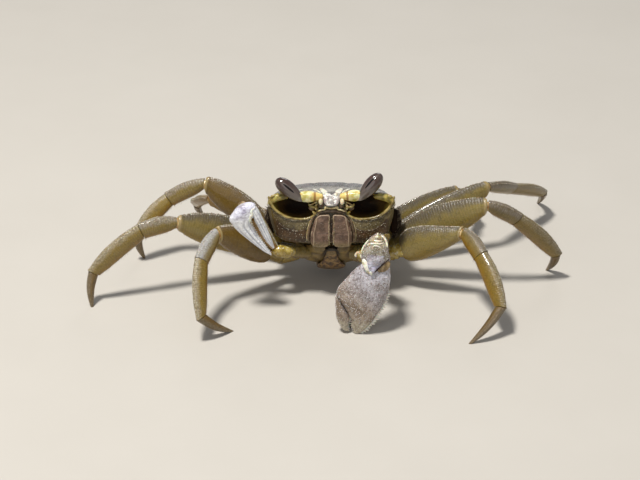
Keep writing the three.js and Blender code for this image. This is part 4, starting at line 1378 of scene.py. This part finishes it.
stalk_finish.paint(
    (0.54, 0.46, 0.09), (shade.step(0.38, 0.62), (0.94, 0.9, 0.5)),
    (1 - (along + (shade - 0.5) * 0.5).step(0.2, 0.5), (0.85, 0.64, 0.2)),
    ((1 - ((along - 0.3) ** 2).step(0.0004, 0.004)) * 0.8, (0.3, 0.12, 0.01)),
    (along.step(0.86, 0.98) * 0.7, (0.5, 0.48, 0.3)), Roughness=0.2 + 0.2 * shade)
stalk_finish.bump(stalk_finish.noise(1500.0) + shade * 2.0, 0.0002, 0.7)

eye_facing = body_way(0, -0.97, 0.23)
for word, (inner, outer_end) in EYES.items():
    side = 1 if word == "left" else -1
    inner, outer_end = on_body(*inner), on_body(*outer_end)
    axis = unit(outer_end - inner)
    facing = unit(eye_facing - axis * eye_facing.dot(axis))
    across = np.cross(axis, facing)
    around, rows = 128, 96
    turn = 2 * np.pi * np.arange(around) / around
    low, high_end, turned = SLITS[word]
    rings, alongs, slits, bellies = [], [], [], []
    for t in np.sin(np.linspace(0.02, math.pi / 2 - 0.02, rows)) ** 2:
        egg = t ** 1.3
        size = 2.17 * MM * math.sqrt(max(0, 1 - (2 * egg - 1) ** 2)) * (0.93 + 0.07 * t)
        lean = np.angle(np.exp(1j * (turn - side * turned)))
        slot_depth = np.hypot(lean / 0.15, (t - (low + high_end) / 2) / ((high_end - low) / 2))
        dent = 1 - 0.05 * np.exp(-slot_depth ** 4)
        rings.append(inner + (outer_end - inner) * (-0.12 + 1.13 * t)
                     + np.outer(np.cos(turn) * size * dent, facing)
                     + np.outer(np.sin(turn) * size * dent, across))
        alongs.append(np.full(around, t))
        slits.append(slot_depth)
        bellies.append(np.clip(-np.sin(turn) * side * 1.1, 0, 1) * bell(t))
    skin(f"cornea_{word}", rings, {"along": alongs, "slit": slits, "belly": bellies},
         cornea_finish, "cornea", f"eye_{word}")
    root = on_body(side * 2.4, -15.9, 9.2)
    tip = inner + axis * 1.2 * MM - facing * 0.4 * MM
    stalk_half = np.array([0.7, 1.05, 1.4, 1.55, 1.35, 0.8])
    limb(f"stalk_{word}", stalk_finish, "eyestalk", [f"eyestalk_{word}"], root, tip, (0, 0, 1),
         (stalk_half * 0.92, stalk_half * 1.08, stalk_half), inset=(0, 0), ripple=0.06,
         ripple_seed=4.0)
    brow = [inner + axis * a * MM + facing * b * MM + across * (-side) * c * MM for a, b, c in
            ((-1.2, 0.5, 0.9), (0.0, 0.75, 1.1), (1.2, 0.9, 1.15))]
    bar(f"eye_sheath_{word}", brow, [0.3, 0.5, 0.15], stalk_finish, "eyestalk", 0.6)


# ------------------------------------------------------------------ underside
# The breastplate's fused plates meet in grooves that fan out to the legs. The narrow tail is
# folded flat against it, below the mouth's hollow in painted shade, and shows its joints as shallow
# steps.
look = Finish("breastplate shell", (0.3, 0.2), (0.12, 0.001, (0.9, 0.6, 0.3)))
blotch = look.noise(260.0)
look.paint((0.1, 0.06, 0.014), (blotch.step(0.36, 0.64), (0.25, 0.17, 0.05)),
           (look.attribute("groove"), (0.04, 0.022, 0.007)),
           # Near-black in the hollow below the mouth: painted shade.
           (look.attribute("bay_shade"), (0.02, 0.01, 0.004)),
           Roughness=0.3 + 0.25 * blotch)
look.bump(look.noise(1500.0) + look.cells(2200.0) * 0.5, 0.0001, 0.8)
BREAST_LENGTH = 27.2
BREAST_FRONT = -12.8
rings, grooves, bay_shades = [], [], []
turn = np.linspace(0, -math.pi, 97)
for t in np.concatenate([[0.0, 0.0], np.linspace(0.0, 1, 90), [1.0]]):
    k = len(rings)
    shrink = (0.7, 0.93)[k] if k < 2 else (0.9 if k == 92 else 1.0)
    half = curve([5.2, 8.4, 9.9, 10.2, 10, 9.2, 7.4, 5], t) * shrink
    y = BREAST_FRONT + BREAST_LENGTH * t
    roof = curve(FLOOR_LINE, (y - FRONT) / (REAR - FRONT)) - 0.4
    deep = curve([-7.6, -10.6, -12.2, -12.6, -12.4, -11.4, -9, -5.4], t)
    c, s = rounded(turn, 2.7)
    x = half * c
    line = t * BREAST_LENGTH - np.abs(x) * 0.35
    cut = np.exp(-(((line + 2.4) % 4.8 - 2.4) / 0.33) ** 2) * np.clip(np.abs(x) / 3 - 0.9, 0, 1)
    hollow = np.exp(-(x / (1.9 + 9.0 * t)) ** 4) * math.exp(-(t / 0.09) ** 2)
    z = roof + s * (roof - deep) * (1 if k > 1 else 0.9) - cut * 0.35 * s - hollow * 1.5 * s
    rings.append(closed(on_body(x, y, z), 20))
    grooves.append(np.concatenate([cut, np.zeros(18)]))
    bay_shades.append(np.concatenate([np.clip(hollow * 2.5, 0, 1), np.zeros(18)]))
skin("breastplate_shell", rings, {"groove": grooves, "bay_shade": bay_shades}, look, "underside",
     "breastplate")

look = Finish("tail shell", (0.3, 0.2), (0.1, 0.0008))
blotch = look.noise(900.0, 5.0, 0.7)
look.paint((0.05, 0.022, 0.006), (blotch.step(0.42, 0.62), (0.3, 0.17, 0.05)),
           (look.attribute("groove") * 0.8, (0.3, 0.2, 0.08)),
           Roughness=0.35 + 0.3 * blotch)
look.bump(blotch * 2.0 + look.noise(1500.0), 0.0003, 0.9)
rings, grooves = [], []
turn = 2 * np.pi * np.arange(56) / 56
for k, t in enumerate(np.concatenate([[0.0, 0.0], np.linspace(0, 1, 130), [1.0, 1.0]])):
    shrink = (0.5, 0.85)[k] if k < 2 else ((0.85, 0.5)[k - 132] if k > 131 else 1.0)
    half = curve([1.3, 3.4, 3.9, 4.1, 4.4, 4.8, 5.6, 6.2, 5.6], t)
    y = -11.6 + 25.8 * t
    step = (t * 7.2) % 1
    deep = curve([-7.9, -11, -12.6, -13, -12.8, -11.8, -9.4, -5.8],
                 (y - BREAST_FRONT) / BREAST_LENGTH)
    c, s = rounded(turn, 3.0)
    lift = 0.24 * step ** 2 * np.clip(-s, 0, 1)
    drop = 0.1 * (half * c) ** 2 / 6
    z = deep - 0.55 + s * 0.6 * shrink - lift + drop + 1.5 * math.exp(-(t / 0.05) ** 2)
    rings.append(on_body(half * c * shrink, y, z))
    grooves.append(np.full(56, math.exp(-(min(step, 1 - step) / 0.07) ** 2)))
skin("tail_shell", rings, {"groove": grooves}, look, "underside", "tail_flap")

tuft_finish = mottled("flank bristles", (1200.0,), (0.5, 0.66), (0.035, 0.018, 0.012),
                      (0.42, 0.34, 0.22), Roughness=0.4, Specular_IOR_Level=0.3)
# The near-black bed under each flank tuft is partly the tuft's dark hair and partly painted shade
# between the flank and the leg bases.
bed_and_shade_finish = Finish("flank bristle bed", Base_Color=(0.022, 0.012, 0.007, 1.0), Roughness=0.8,
                    Specular_IOR_Level=0.08)
BED = np.array([(16.9, -6.4, 3.4), (17.5, -5.2, 1.2), (17.7, -4.0, -1.4), (17.2, -2.6, -4.0)])
BED_THICK = [0.7, 1.5, 1.6, 0.8]
for side, word in SIDES:
    lines = []
    proud = 0.0 if side > 0 else -0.9
    lens = [on_body(side * (a + proud), b, c) for a, b, c in BED]
    bar(f"flank_pad_{word}", lens, BED_THICK, bed_and_shade_finish, "face", 1.5)
    for row in np.linspace(-1, 1, 17):
        rear = np.linspace(-1.1, 0.95, 28)
        keep = rear ** 2 + row ** 2 < 1.25
        z = -1.0 + 4.2 * row
        over, fore, thick = (np.interp(-z, -BED[:, 2], values) for values in
                             (BED[:, 0], BED[:, 1], BED_THICK))
        y = fore + 0.9 + 3.8 * rear[keep]
        t = (y - FRONT) / (REAR - FRONT)
        dome = np.sqrt(np.clip(thick ** 2 - ((y - fore) / 1.5) ** 2, 0, None))
        flank = body_half_width(t) * (1 - 0.16 * np.clip(-z / 5.0, 0, 1.2) ** 3) + 0.9
        x = np.where(dome > 0, np.maximum(flank, over + dome - 0.15), flank) + proud
        spot = on_body(side * x, y, np.full_like(y, z))
        out = np.broadcast_to(body_way(side, -0.15, -0.35), spot.shape)
        place = np.stack([y * MM, np.full_like(y, z * MM)], axis=-1)
        lines.append(np.hstack([spot, out / MM, place]))
    bristles(f"flank_tuft_{word}", lines, 60, 1.5, 0.055, tuft_finish, "face", 14, 0.9, 0.4)


# ------------------------------------------------------------------ claws
# A heavy granular claw hangs to the floor on the crab's left, and a slim pale one is folded up
# on its right. Each has a fixed finger on the palm, a hinged finger, a wrist and an arm.
CLAWS = {
    "left": {
        "along": (-0.24, -0.17, -0.96), "across": (-0.97, 0.12, 0.22), "first": (0.2, -0.5),
        "palm": [(-0.2, 2.4, -1.1, -4.9, 3.4), (2.4, 4.1, 1.6, -5.8, 5.0),
                 (5.4, 5.6, 4.3, -6.15, 5.8), (8.5, 7, 7, -6.2, 6.1),
                 (10.9, 6.4, 9.7, -5.75, 5.8), (12.9, 4.3, 12, -5.05, 5.2),
                 (14.6, 2.65, 13.9, -4.5, 4.4), (16, 1.35, 15.6, -3.85, 3.5),
                 (17.5, 1.05, 17.2, -3, 2.6), (19.4, -0.2, 19, -1.9, 1.2)],
        "finger": [(10.2, 7, 13.7, 3.5, 4), (12.3, 6.7, 14.8, 2.35, 4),
                   (14.3, 6.1, 15.7, 1.95, 3.6), (16.1, 5.5, 16.8, 1.85, 3.1),
                   (17.7, 4.5, 17.9, 1.75, 2.5), (19.2, 3, 19.3, 1.3, 1.3)],
        "girth": 1.15, "slot": "large_claw", "hip_shift": (0, 0, 0),
        "upper_edge": (1.2, 1.9, 2.3, 2.3, 1.6, 0.9), "lower_edge": (1.2, 2.0, 2.3, 2.4, 2.0, 1.5)},
    "right": {
        "along": (0.47, -0.03, -0.88), "across": (-0.88, -0.1, -0.47), "first": (-1.1, 0.3),
        "palm": [(-0.5, 1.0, -0.5, -0.3, 1.6), (-0.2, 2.2, -0.1, -1.6, 2.8),
                 (0.5, 3.6, 0.6, -2.7, 3.6), (1.5, 5.05, 1.6, -3, 3.9), (3.4, 5.15, 3.2, -2.2, 3.8),
                 (5.7, 4.75, 4.7, 0.25, 3.4), (8.7, 3.75, 8, 0.65, 2.8), (11.6, 2.7, 11, 0.6, 2.1),
                 (14.3, 1.65, 13.6, 0.4, 1.4), (16.5, 0.4, 16.1, 0.1, 0.7)],
        "finger": [(2.9, -1.0, 1.2, -2.9, 3.3), (4.4, -0.75, 3.4, -3.05, 3.2),
                   (6.5, -0.65, 5.8, -2.85, 2.9), (9.2, -0.5, 8.9, -2.5, 2.4),
                   (12.2, -0.5, 12, -2.05, 1.8), (15, -1.05, 14.8, -1.5, 0.7)],
        "girth": 0.9, "slot": "small_claw", "hip_shift": (-1.9, 2.1, 1.8),
        "upper_edge": (0.8, 1.2, 1.8, 2.4, 2.9, 2.7), "lower_edge": (0.8, 1.5, 1.9, 2.0, 1.9, 1.8)},
}


def claw_frame(word):
    """The claw's root, its two long directions, and the way its broad side faces."""
    claw = CLAWS[word]
    along = unit(np.array(claw["along"]))
    across = np.array(claw["across"])
    across = unit(across - along * across.dot(along))
    facing = np.cross(across, along)
    ends = [np.array(end) for end in flat_ends(f"claw_{word}_palm")]
    root_end = max(ends, key=lambda end: end[2])
    root = root_end - (along * claw["first"][0] + across * claw["first"][1]) * MM
    return root, along, across, facing


def on_claw(word, points):
    """Places given in millimetres along, across and out from a claw's root."""
    root, along, across, facing = claw_frame(word)
    return [root + (along * a + across * b + facing * n) * MM for a, b, n in points]


def claw_rings(word, rails, rows, around, boxy, groove=0.0, lump=0.0, seed=0.0, lifts=(0, 0),
               tip_closed=(0.9, 0.6), groove_from=0.15):
    """Rings of a palm or finger between its two edge rails, with along and side marks."""
    root, along, across, facing = claw_frame(word)
    rings, alongs, sides = [], [], []
    turn = 2 * np.pi * np.arange(around) / around
    c, s = rounded(turn, boxy)
    ts = [(0.0, 0.45), (0.0, 0.8), (0.0, 0.95)] + [(t, 1.0) for t in np.linspace(0, 1, rows)]
    ts += [(1.0, shrink) for shrink in tip_closed]
    for t, shrink in ts:
        la, lb, ra, rb, thick = curve(rails, t)
        left = root + (along * la + across * lb) * MM
        right = root + (along * ra + across * rb) * MM
        middle = (left + right) / 2 + facing * curve(lifts, t) * MM
        reach = (left - right) / 2
        fade = np.clip((t - groove_from) * 4, 0, 1)
        ribs = 1 - groove * fade * (0.5 + 0.5 * np.cos(c * 9.5)) ** 4 * np.abs(s)
        knobs = 1 + lump * np.array([noise.noise(Vector((t * 7 + seed, x * 2.3, y * 1.3)))
                                     for x, y in zip(c, s)])
        push = s * thick / 2 * MM * ribs * knobs * shrink
        rings.append(middle + np.outer(c * shrink, reach) + np.outer(push, facing))
        alongs.append(np.full(around, t))
        sides.append(c)
    return rings, {"along": alongs, "side": sides}


def rail_path(word, rails, which, start, end):
    """A path along one edge rail, with the way out from the claw."""
    root, along, across, facing = claw_frame(word)
    first, sign = (0, 1) if which == "upper" else (2, -1)
    ts = np.linspace(start, end, 60)
    a, b = curve(rails, ts).T[first:first + 2]
    points = root + (np.outer(a, along) + np.outer(b, across)) * MM
    out = np.cross(np.gradient(points, axis=0), facing)
    out *= np.sign(out @ across * sign)[:, None]
    return np.hstack([points, out / np.linalg.norm(out, axis=1)[:, None]])


large_finish = Finish("large claw shell", (0.5, 0.15), (0.08, 0.001, (0.8, 0.6, 0.5)))
along = large_finish.attribute("along")
side_mark = large_finish.attribute("side")
blotch = large_finish.noise(300.0)
fine = large_finish.noise(1500.0, 2.0)
spread = blotch.step(0.38, 0.62)
large_finish.paint(
    spread.mix((0.28, 0.25, 0.25), (0.54, 0.51, 0.55)),
    ((along * 1.25 + side_mark * 0.2 + (blotch - 0.5) * 0.3).step(0.28, 0.66),
     spread.mix((0.24, 0.175, 0.115), (0.43, 0.345, 0.27))),
    (along.step(0.66, 0.85) * 0.85, (0.48, 0.43, 0.32)),
    (fine.step(0.5, 0.62) * 0.55, (0.13, 0.085, 0.065)),
    ((1 - large_finish.cells(1350.0).step(0.1, 0.26)) * 0.75, (0.76, 0.73, 0.72)),
    # Near-white lilac patch near the palm's root: a painted highlight.
    ((1 - (along + side_mark * 0.06 + (fine - 0.5) * 0.3).step(0.02, 0.2)) * 0.6,
     (0.78, 0.77, 0.86)), Roughness=0.26 + 0.25 * blotch)
large_finish.bump(large_finish.cells(1700.0) * 0.8 + fine * 0.7, 0.0002, 0.9)

small_finish = Finish("small claw shell", (0.35, 0.12), (0.1, 0.001, (0.7, 0.65, 0.6)))
along = small_finish.attribute("along")
blotch = small_finish.noise(380.0)
fine = small_finish.noise(1400.0, 3.0)
pale = (along + (blotch - 0.5) * 0.25).step(0.24, 0.5)
small_finish.paint(
    (0.48, 0.45, 0.58), (blotch.step(0.38, 0.58), (0.82, 0.82, 0.94)), (pale, (0.95, 0.96, 0.98)),
    (small_finish.attribute("groove") * pale * 0.7, (0.36, 0.38, 0.5)),
    (fine.step(0.56, 0.68) * 0.4, (0.3, 0.28, 0.36)),
    ((1 - along.step(0.02, 0.1)) * 0.5, (0.4, 0.36, 0.36)), Roughness=0.2 + 0.22 * blotch)
small_finish.bump(fine + small_finish.cells(1500.0) + blotch * 1.5, 0.00024, 0.9)
tooth_finish = mottled("claw teeth", (900.0,), None, (0.6, 0.55, 0.46), (0.9, 0.88, 0.82),
                       (0.4, 0.15), (0.15, 0.0006), 0.25)
claw_grain_finish = mottled("claw grains", (1300.0,), (0.36, 0.6), (0.24, 0.18, 0.15),
                            (0.68, 0.63, 0.64), (0.4, 0.12), (0.1, 0.0005), Roughness=0.3)
# Rows of teeth and grains on a claw: the piece and its edge rail, where the row starts and
# ends, how many, how large and of which kind.
CLAW_ROWS = {
    "left": {"palm_lower": ("palm", "lower", 0.3, 0.97, 18, 0.66, "tooth"),
             "palm_upper": ("palm", "upper", 0.08, 0.42, 18, 0.24, "grain"),
             "finger_outer": ("finger", "upper", 0.05, 0.92, 18, 0.24, "grain"),
             "palm_gap": ("palm", "upper", 0.7, 0.98, 9, 0.22, "tooth"),
             "finger_gap": ("finger", "lower", 0.3, 0.97, 9, 0.28, "tooth")},
    "right": {"palm_lower": ("palm", "lower", 0.3, 0.97, 34, 0.12, "tooth"),
              "palm_upper": ("palm", "upper", 0.08, 0.42, 14, 0.1, "grain"),
              "finger_outer": ("finger", "lower", 0.05, 0.92, 24, 0.1, "grain"),
              "palm_gap": ("palm", "lower", 0.5, 0.97, 20, 0.24, "tooth"),
              "finger_gap": ("finger", "upper", 0.3, 0.97, 22, 0.18, "tooth")},
}
for word, finish, ribs, lump in (("left", large_finish, 0.12, 0.06),
                                 ("right", small_finish, 0.3, 0.04)):
    claw = CLAWS[word]
    name = f"claw_{word}"
    slot = claw["slot"]
    rings, marks = claw_rings(word, claw["palm"], 120, 84, 2.35, ribs, lump, 1.0,
                              groove_from=0.4)
    marks["groove"] = [(0.5 + 0.5 * np.cos(c * 9.5)) ** 6 * np.clip(4 * t[0] - 1.6, 0, 1)
                       for c, t in zip(marks["side"], marks["along"])]
    palm_mesh = skin_mesh(f"{name}_palm", rings, marks)
    part(f"{name}_palm_shell", palm_mesh, finish, slot, f"{name}_palm")
    rings, marks = claw_rings(word, claw["finger"], 80, 64, 2.3, ribs, lump * 0.6, 5.0)
    marks["groove"] = [(0.5 + 0.5 * np.cos(c * 9.5)) ** 6 for c in marks["side"]]
    marks["along"] = [0.45 + 0.5 * row for row in marks["along"]]
    finger_mesh = skin_mesh(f"{name}_finger", rings, marks)
    part(f"{name}_finger_shell", finger_mesh, finish, slot, f"{name}_finger")
    if word == "left":
        granules(f"{name}_palm_grains", palm_mesh, claw_grain_finish, slot, 0.4, 0.15, 21, 0.6,
                 "along", (0.97, 0.4))
        granules(f"{name}_finger_grains", finger_mesh, claw_grain_finish, slot, 0.55, 0.13, 22,
                 0.6, "along", (1.0, 0.4))
    for seed, (row, values) in enumerate(CLAW_ROWS[word].items(), 31):
        piece, rail, start, end, count, size, kind = values
        grain = claw_grain_finish if word == "left" and kind == "grain" else tooth_finish
        bead_row(f"{name}_{row}_row", rail_path(word, claw[piece], rail, start, end), count, size,
                 grain, slot, seed, (1.1, 0.75, 0.7), kind)
hinge = on_claw("right", ((1.5, -2.5, 1.35), (1.8, -1.4, 1.7), (2.6, -1.15, 1.8), (3.2, -0.35, 1.8),
                          (4.1, 0.15, 1.6), (5.3, 0.3, 1.2)))
bar("claw_right_hinge", hinge, [0.14, 0.3, 0.34, 0.34, 0.3, 0.12], cream_finish, "small_claw", 0.7)


# ------------------------------------------------------------------ claw wrists and arms
# The large claw's wrist is a knobbly block with wavy cream ridges round the elbow, a hooked
# spine on its inner edge and a lilac tongue over the palm. Soft skin fills the gap beside it.
WRIST = [(-8.3, 0.6, -8.2, -1.2, 2.4), (-7.6, 1.5, -7.6, -2.2, 4.4), (-6.6, 2.3, -6.9, -2.8, 5.6),
         (-5.5, 2.85, -5.8, -3.15, 6.2), (-4.2, 3.1, -4.6, -3.6, 6.4), (-2.7, 3.05, -3.5, -4.35, 6),
         (-1.2, 2.9, -2.3, -4.4, 5), (-0.2, 2.2, -1.2, -3.6, 3.8)]
ARM_THICK = (1.0, 1.6, 2.0, 2.2, 2.1)
WRIST_LIFTS = (-2.6, -2.1, -1.5, -0.9, -0.4, -0.1, 0, 0)
TONGUE = [(-4, 1.8, -4.4, -2.9, 2.0), (-2.6, 1.6, -3.1, -2.9, 2.1), (-1.2, 1.2, -1.7, -2.4, 1.9),
          (0, 0.6, -0.6, -1.7, 1.5), (0.9, 0.1, 0.5, -1.2, 1.1), (1.8, -0.4, 1.5, -0.8, 0.7)]
TONGUE_LIFTS = (1.9, 2.2, 2.4, 2.5, 2.6, 2.6)
WRIST_RIDGES = {
    "outer": ([(-8.4, -0.4, -1.5), (-8.3, -1.3, -1.2), (-7.6, -2.2, -0.5), (-6.85, -2.7, 0.1),
               (-6.3, -2.85, 0.5)], [0.2, 0.28, 0.28, 0.26, 0.12], 1.0),
    "brow": ([(-7.9, 1.1, -0.5), (-8.15, 0.5, -0.35), (-8.2, -0.3, -0.35), (-8, -1, -0.45)],
             [0.16, 0.36, 0.38, 0.16], 0.8),
    "second": ([(-7.1, 1.6, 0.35), (-7.2, 0.8, 0.75), (-7.45, -0.3, 0.7), (-7.7, -1.3, 0.2)],
               [0.14, 0.32, 0.32, 0.14], 0.8),
    "third": ([(-5.6, 2.4, 1.1), (-6, 2.1, 1.3), (-6.5, 1.4, 1.5), (-6.9, 0.1, 1.4),
               (-7, -0.7, 1.3), (-7.4, -1.8, 0.6)], [0.12, 0.24, 0.28, 0.28, 0.26, 0.12], 0.8),
    "fourth": ([(-5.5, 1, 2.1), (-6.05, 0.7, 1.95), (-6.4, 0.2, 1.85), (-6.3, -0.7, 1.85),
                (-6.1, -1.1, 1.85)], [0.1, 0.2, 0.24, 0.2, 0.1], 0.8),
    "inner": ([(-6.8, 2.3, -0.5), (-6.1, 2.7, -0.2), (-5.3, 3.05, 0), (-4.1, 3.35, 0.3),
               (-3.2, 3.4, 0.5), (-2.4, 3.35, 0.7), (-1.7, 3, 0.9)],
              [0.16, 0.26, 0.24, 0.26, 0.26, 0.3, 0.16], 1.0),
    "spine": ([(-2.8, 3.0, 0.6), (-3.05, 4.0, 0.7), (-2.7, 4.6, 0.8), (-2, 4.7, 0.8),
               (-1.75, 4.3, 0.8)], [0.42, 0.38, 0.34, 0.3, 0.1], 1.0),
    "point": ([(-7.9, 0.4, -1.6), (-8.5, 0.45, -1.7), (-9.0, 0.45, -1.8)], [0.4, 0.3, 0.1], 1.0),
}


def wrist_shell(name, tones, gloss):
    """Knobbly mottled wrist shell, in pairs of tones from the elbow to the palm."""
    finish = Finish(name, (0.35, 0.15), (0.1, 0.0008))
    blotch = finish.noise(480.0, 5.0)
    at = finish.attribute("along") + (blotch - 0.5) * 0.25
    elbow, middle, palm = (blotch.step(0.4, 0.6).mix(*pair_of_tones) for pair_of_tones in tones)
    finish.paint(elbow, (at.step(0.3, 0.5), middle), (at.step(0.62, 0.85), palm),
                 (finish.noise(1500.0).step(0.54, 0.66) * 0.6, (0.1, 0.07, 0.04)),
                 ((1 - finish.cells(1500.0).step(0.12, 0.26)) * 0.6, (0.7, 0.66, 0.56)),
                 Roughness=gloss + 0.3 * blotch)
    finish.bump(finish.cells(1300.0) + finish.noise(1500.0) * 0.8 + blotch * 2.0, 0.00028, 0.9)
    return finish


wrist_finish = wrist_shell("claw wrist shell", (
    ((0.2, 0.15, 0.08), (0.46, 0.38, 0.24)), ((0.19, 0.165, 0.11), (0.38, 0.34, 0.26)),
    ((0.27, 0.23, 0.25), (0.46, 0.43, 0.5))), 0.28)
tongue_finish = wrist_shell("claw wrist tongue", (
    ((0.3, 0.27, 0.3), (0.5, 0.47, 0.52)), ((0.42, 0.41, 0.56), (0.68, 0.68, 0.84)),
    ((0.48, 0.46, 0.55), (0.74, 0.72, 0.8))), 0.12)
ridge_finish = mottled("wrist ridges", (800.0,), (0.35, 0.55), (0.48, 0.36, 0.17),
                       (0.88, 0.82, 0.66), (0.5, 0.1), (0.3, 0.0008), Roughness=0.25,
                       relief=(1500.0, 0.00012, 0.7))
lens_finish = mottled("wrist joint skin", (600.0, 5.0), (0.38, 0.6), (0.13, 0.08, 0.025),
                      (0.38, 0.27, 0.13), (0.3,), (0.2, 0.0008), Roughness=0.35,
                      relief=(1400.0, 0.0002, 0.8))
# Near-black bars in the gap between the large claw's fingers and in the crease beside the wrist's
# tongue: painted shade.
gap_shade_finish = Finish("dark joint skin", Base_Color=(0.045, 0.02, 0.01, 1.0), Roughness=0.5)
arm_base_finish = shell_finish("claw arm base shell", (0.3, 0.24, 0.09), (0.2, 0.14, 0.03),
                               (0.14, 0.085, 0.014), 0.9)
arm_finish = shell_finish("claw arm shell", (0.5, 0.43, 0.25), (0.3, 0.16, 0.025),
                          (0.28, 0.14, 0.015), 0.95)

for word, claw in CLAWS.items():
    left = word == "left"
    name = f"claw_{word}"
    names = [f"{name}_{step}" for step in ("base", "merus", "carpus")]
    hip = np.array(joint_between(names[0], names[1]))
    elbow = np.array(joint_between(names[1], names[2]))
    socket = np.array(far_end(names[0], Vector(hip)))
    wrist = np.array(far_end(names[2], Vector(elbow)))
    hip = hip + body_way(*claw["hip_shift"])
    girth = claw["girth"]
    cuts = [mitre(socket, hip, elbow), mitre(hip, elbow, wrist)]
    along, across, facing = claw_frame(word)[1:]
    limb(f"{name}_base_shell", arm_base_finish, "leg", names[:1], socket, hip, (0, 0, 1),
         (lambda t: 1.85 * girth * (1 + 0.09 * math.sin(t * 30)), lambda t: 1.7 * girth), rows=48,
         inset=(0.3, 1.0), ripple=0.05)
    knob_half = lambda t: 1.95 * girth * math.sqrt(max(0.05, 1 - abs(2 * t - 1) ** 2.6))
    middle = hip + np.array([0, -0.0005, 0.0003])
    reach = unit(hip - socket) * MM
    limb(f"{name}_knob", knuckle_finish, "leg", [], middle - reach * 5, middle + reach * 1.9,
         (0, 0, 1), (knob_half, knob_half), rows=36, around=40, inset=(0, 0), ripple=0.12,
         ripple_seed=3.0)
    rings = limb(f"{name}_merus_shell", arm_base_finish if left else arm_finish, "leg", names[1:2],
                 hip, elbow, (0, -0.4, 1.0),
                 (claw["upper_edge"], claw["lower_edge"], girth * np.array(ARM_THICK)), *cuts, 60,
                 40, 0.35, (0.6, 0.35), ripple=0.02)
    bead_row(f"{name}_merus_edge", edge_line(rings, 0.25, 0.04, 0.96, 0.0), 34, 0.16,
             cream_finish, "leg", 36, (1.5, 0.8, 0.6))
    if left:
        rings, marks = claw_rings(word, WRIST, 90, 72, 2.4, lump=0.1, seed=2.0,
                                  lifts=WRIST_LIFTS)
    else:
        rings, marks = limb_rings(
            elbow, wrist + along * 1.2 * MM, across,
            (lambda t: girth * (1.4 - 0.3 * t + 0.4 * bell(t)),
             lambda t: girth * (1.7 + 0.2 * t + 0.7 * bell(t))), cuts[1], None, 64, 56,
            inset=(0.35, 0.25), ripple=0.02, ripple_seed=8.0)
    wrist_mesh = skin_mesh(names[2], rings, marks)
    part(f"{name}_wrist_shell", wrist_mesh, wrist_finish if left else small_finish,
         claw["slot"] if left else "leg", names[2])
    if left:
        granules(f"{name}_wrist_grains", wrist_mesh, claw_grain_finish, claw["slot"], 0.5, 0.17,
                 41, 0.8)
    joint_skin(f"{name}_shoulder_skin", hip, socket, elbow, (0, -0.4, 1.0), 1.2 * girth, girth,
               knuckle_finish)
    inside = on_claw("left", ((-5.6, -0.2, -0.6),))[0] if left else wrist
    high, wide, beyond = (1.7, 1.7, 4.6) if left else (1.4 * girth, 1.3 * girth, SKIN_TUCK)
    joint_skin(f"{name}_elbow_skin", elbow, hip, inside, (0, -0.4, 1.0), high, wide, lens_finish,
               beyond)
    palm_start = np.array(min(flat_ends(f"{name}_palm"),
                              key=lambda end: np.linalg.norm(np.array(end) - wrist)))
    joint_skin(f"{name}_wrist_skin", (wrist + palm_start) / 2, elbow,
               palm_start + along * 4 * MM, across, 1.4 * girth, 1.2 * girth, lens_finish)
rings, marks = claw_rings("left", TONGUE, 60, 48, 2.6, lump=0.08, seed=6.0, lifts=TONGUE_LIFTS,
                          tip_closed=(0.85, 0.5))
tongue_mesh = skin_mesh("claw_left_tongue", rings, marks)
part("claw_left_tongue", tongue_mesh, tongue_finish, "large_claw")
granules("claw_left_tongue_grains", tongue_mesh, claw_grain_finish, "large_claw", 0.4, 0.12, 42,
         0.6, "along", (0.9, 0.1))
facing = claw_frame("left")[3]
c, s = math.cos(PITCH), math.sin(PITCH)
wrist_way = (facing[0], facing[1] * c - facing[2] * s, facing[1] * s + facing[2] * c)
WRIST_BARS = {
    "joint_pad": (((-3.0, -4.3, 1.0), (-2.0, -3.7, 1.5), (-0.9, -3, 1.7), (0.5, -1.9, 1.8)),
                  [0.7, 1.3, 1.3, 0.5], lens_finish, 0.6, 20),
    # Painted shade in the gap between the fingers.
    "finger_web": (((14.0, 3.0, -0.4), (15.6, 1.8, -0.5), (17.4, 1.4, -0.5), (18.8, 1.1, -0.4)),
                   [0.3, 0.5, 0.45, 0.2], gap_shade_finish, 0.8, 14),
    # Painted shade in the crease between the tongue and the joint pad.
    "joint_gap": (((-3.6, -4.2, 1.3), (-2.8, -3.4, 2), (-1.7, -2.65, 2.45), (-0.5, -1.95, 2.6),
                   (0.7, -1.3, 2.6)), [0.12, 0.24, 0.26, 0.24, 0.12], gap_shade_finish, 0.8, 14),
    "leaf_inner": (((-2.2, 2.5, 1.6), (-1.2, 1.9, 2.3), (0, 1.0, 2.7), (1.5, 0.0, 2.7)),
                   [0.3, 0.75, 0.65, 0.2], cream_finish, 0.45, 14),
    "leaf_middle": (((0.2, -0.1, 3), (0.9, -0.4, 3.1), (1.6, -0.65, 2.9)), [0.1, 0.4, 0.12],
                    cream_finish, 0.45, 14),
}
for ridge, (points, radii, flatten) in WRIST_RIDGES.items():
    WRIST_BARS[f"wrist_{ridge}"] = (points, radii, ridge_finish, flatten, 14)
for name, (points, radii, finish, flatten, around) in WRIST_BARS.items():
    bar(f"claw_left_{name}", on_claw("left", points), radii, finish, "large_claw", flatten, around,
        wrist_way)
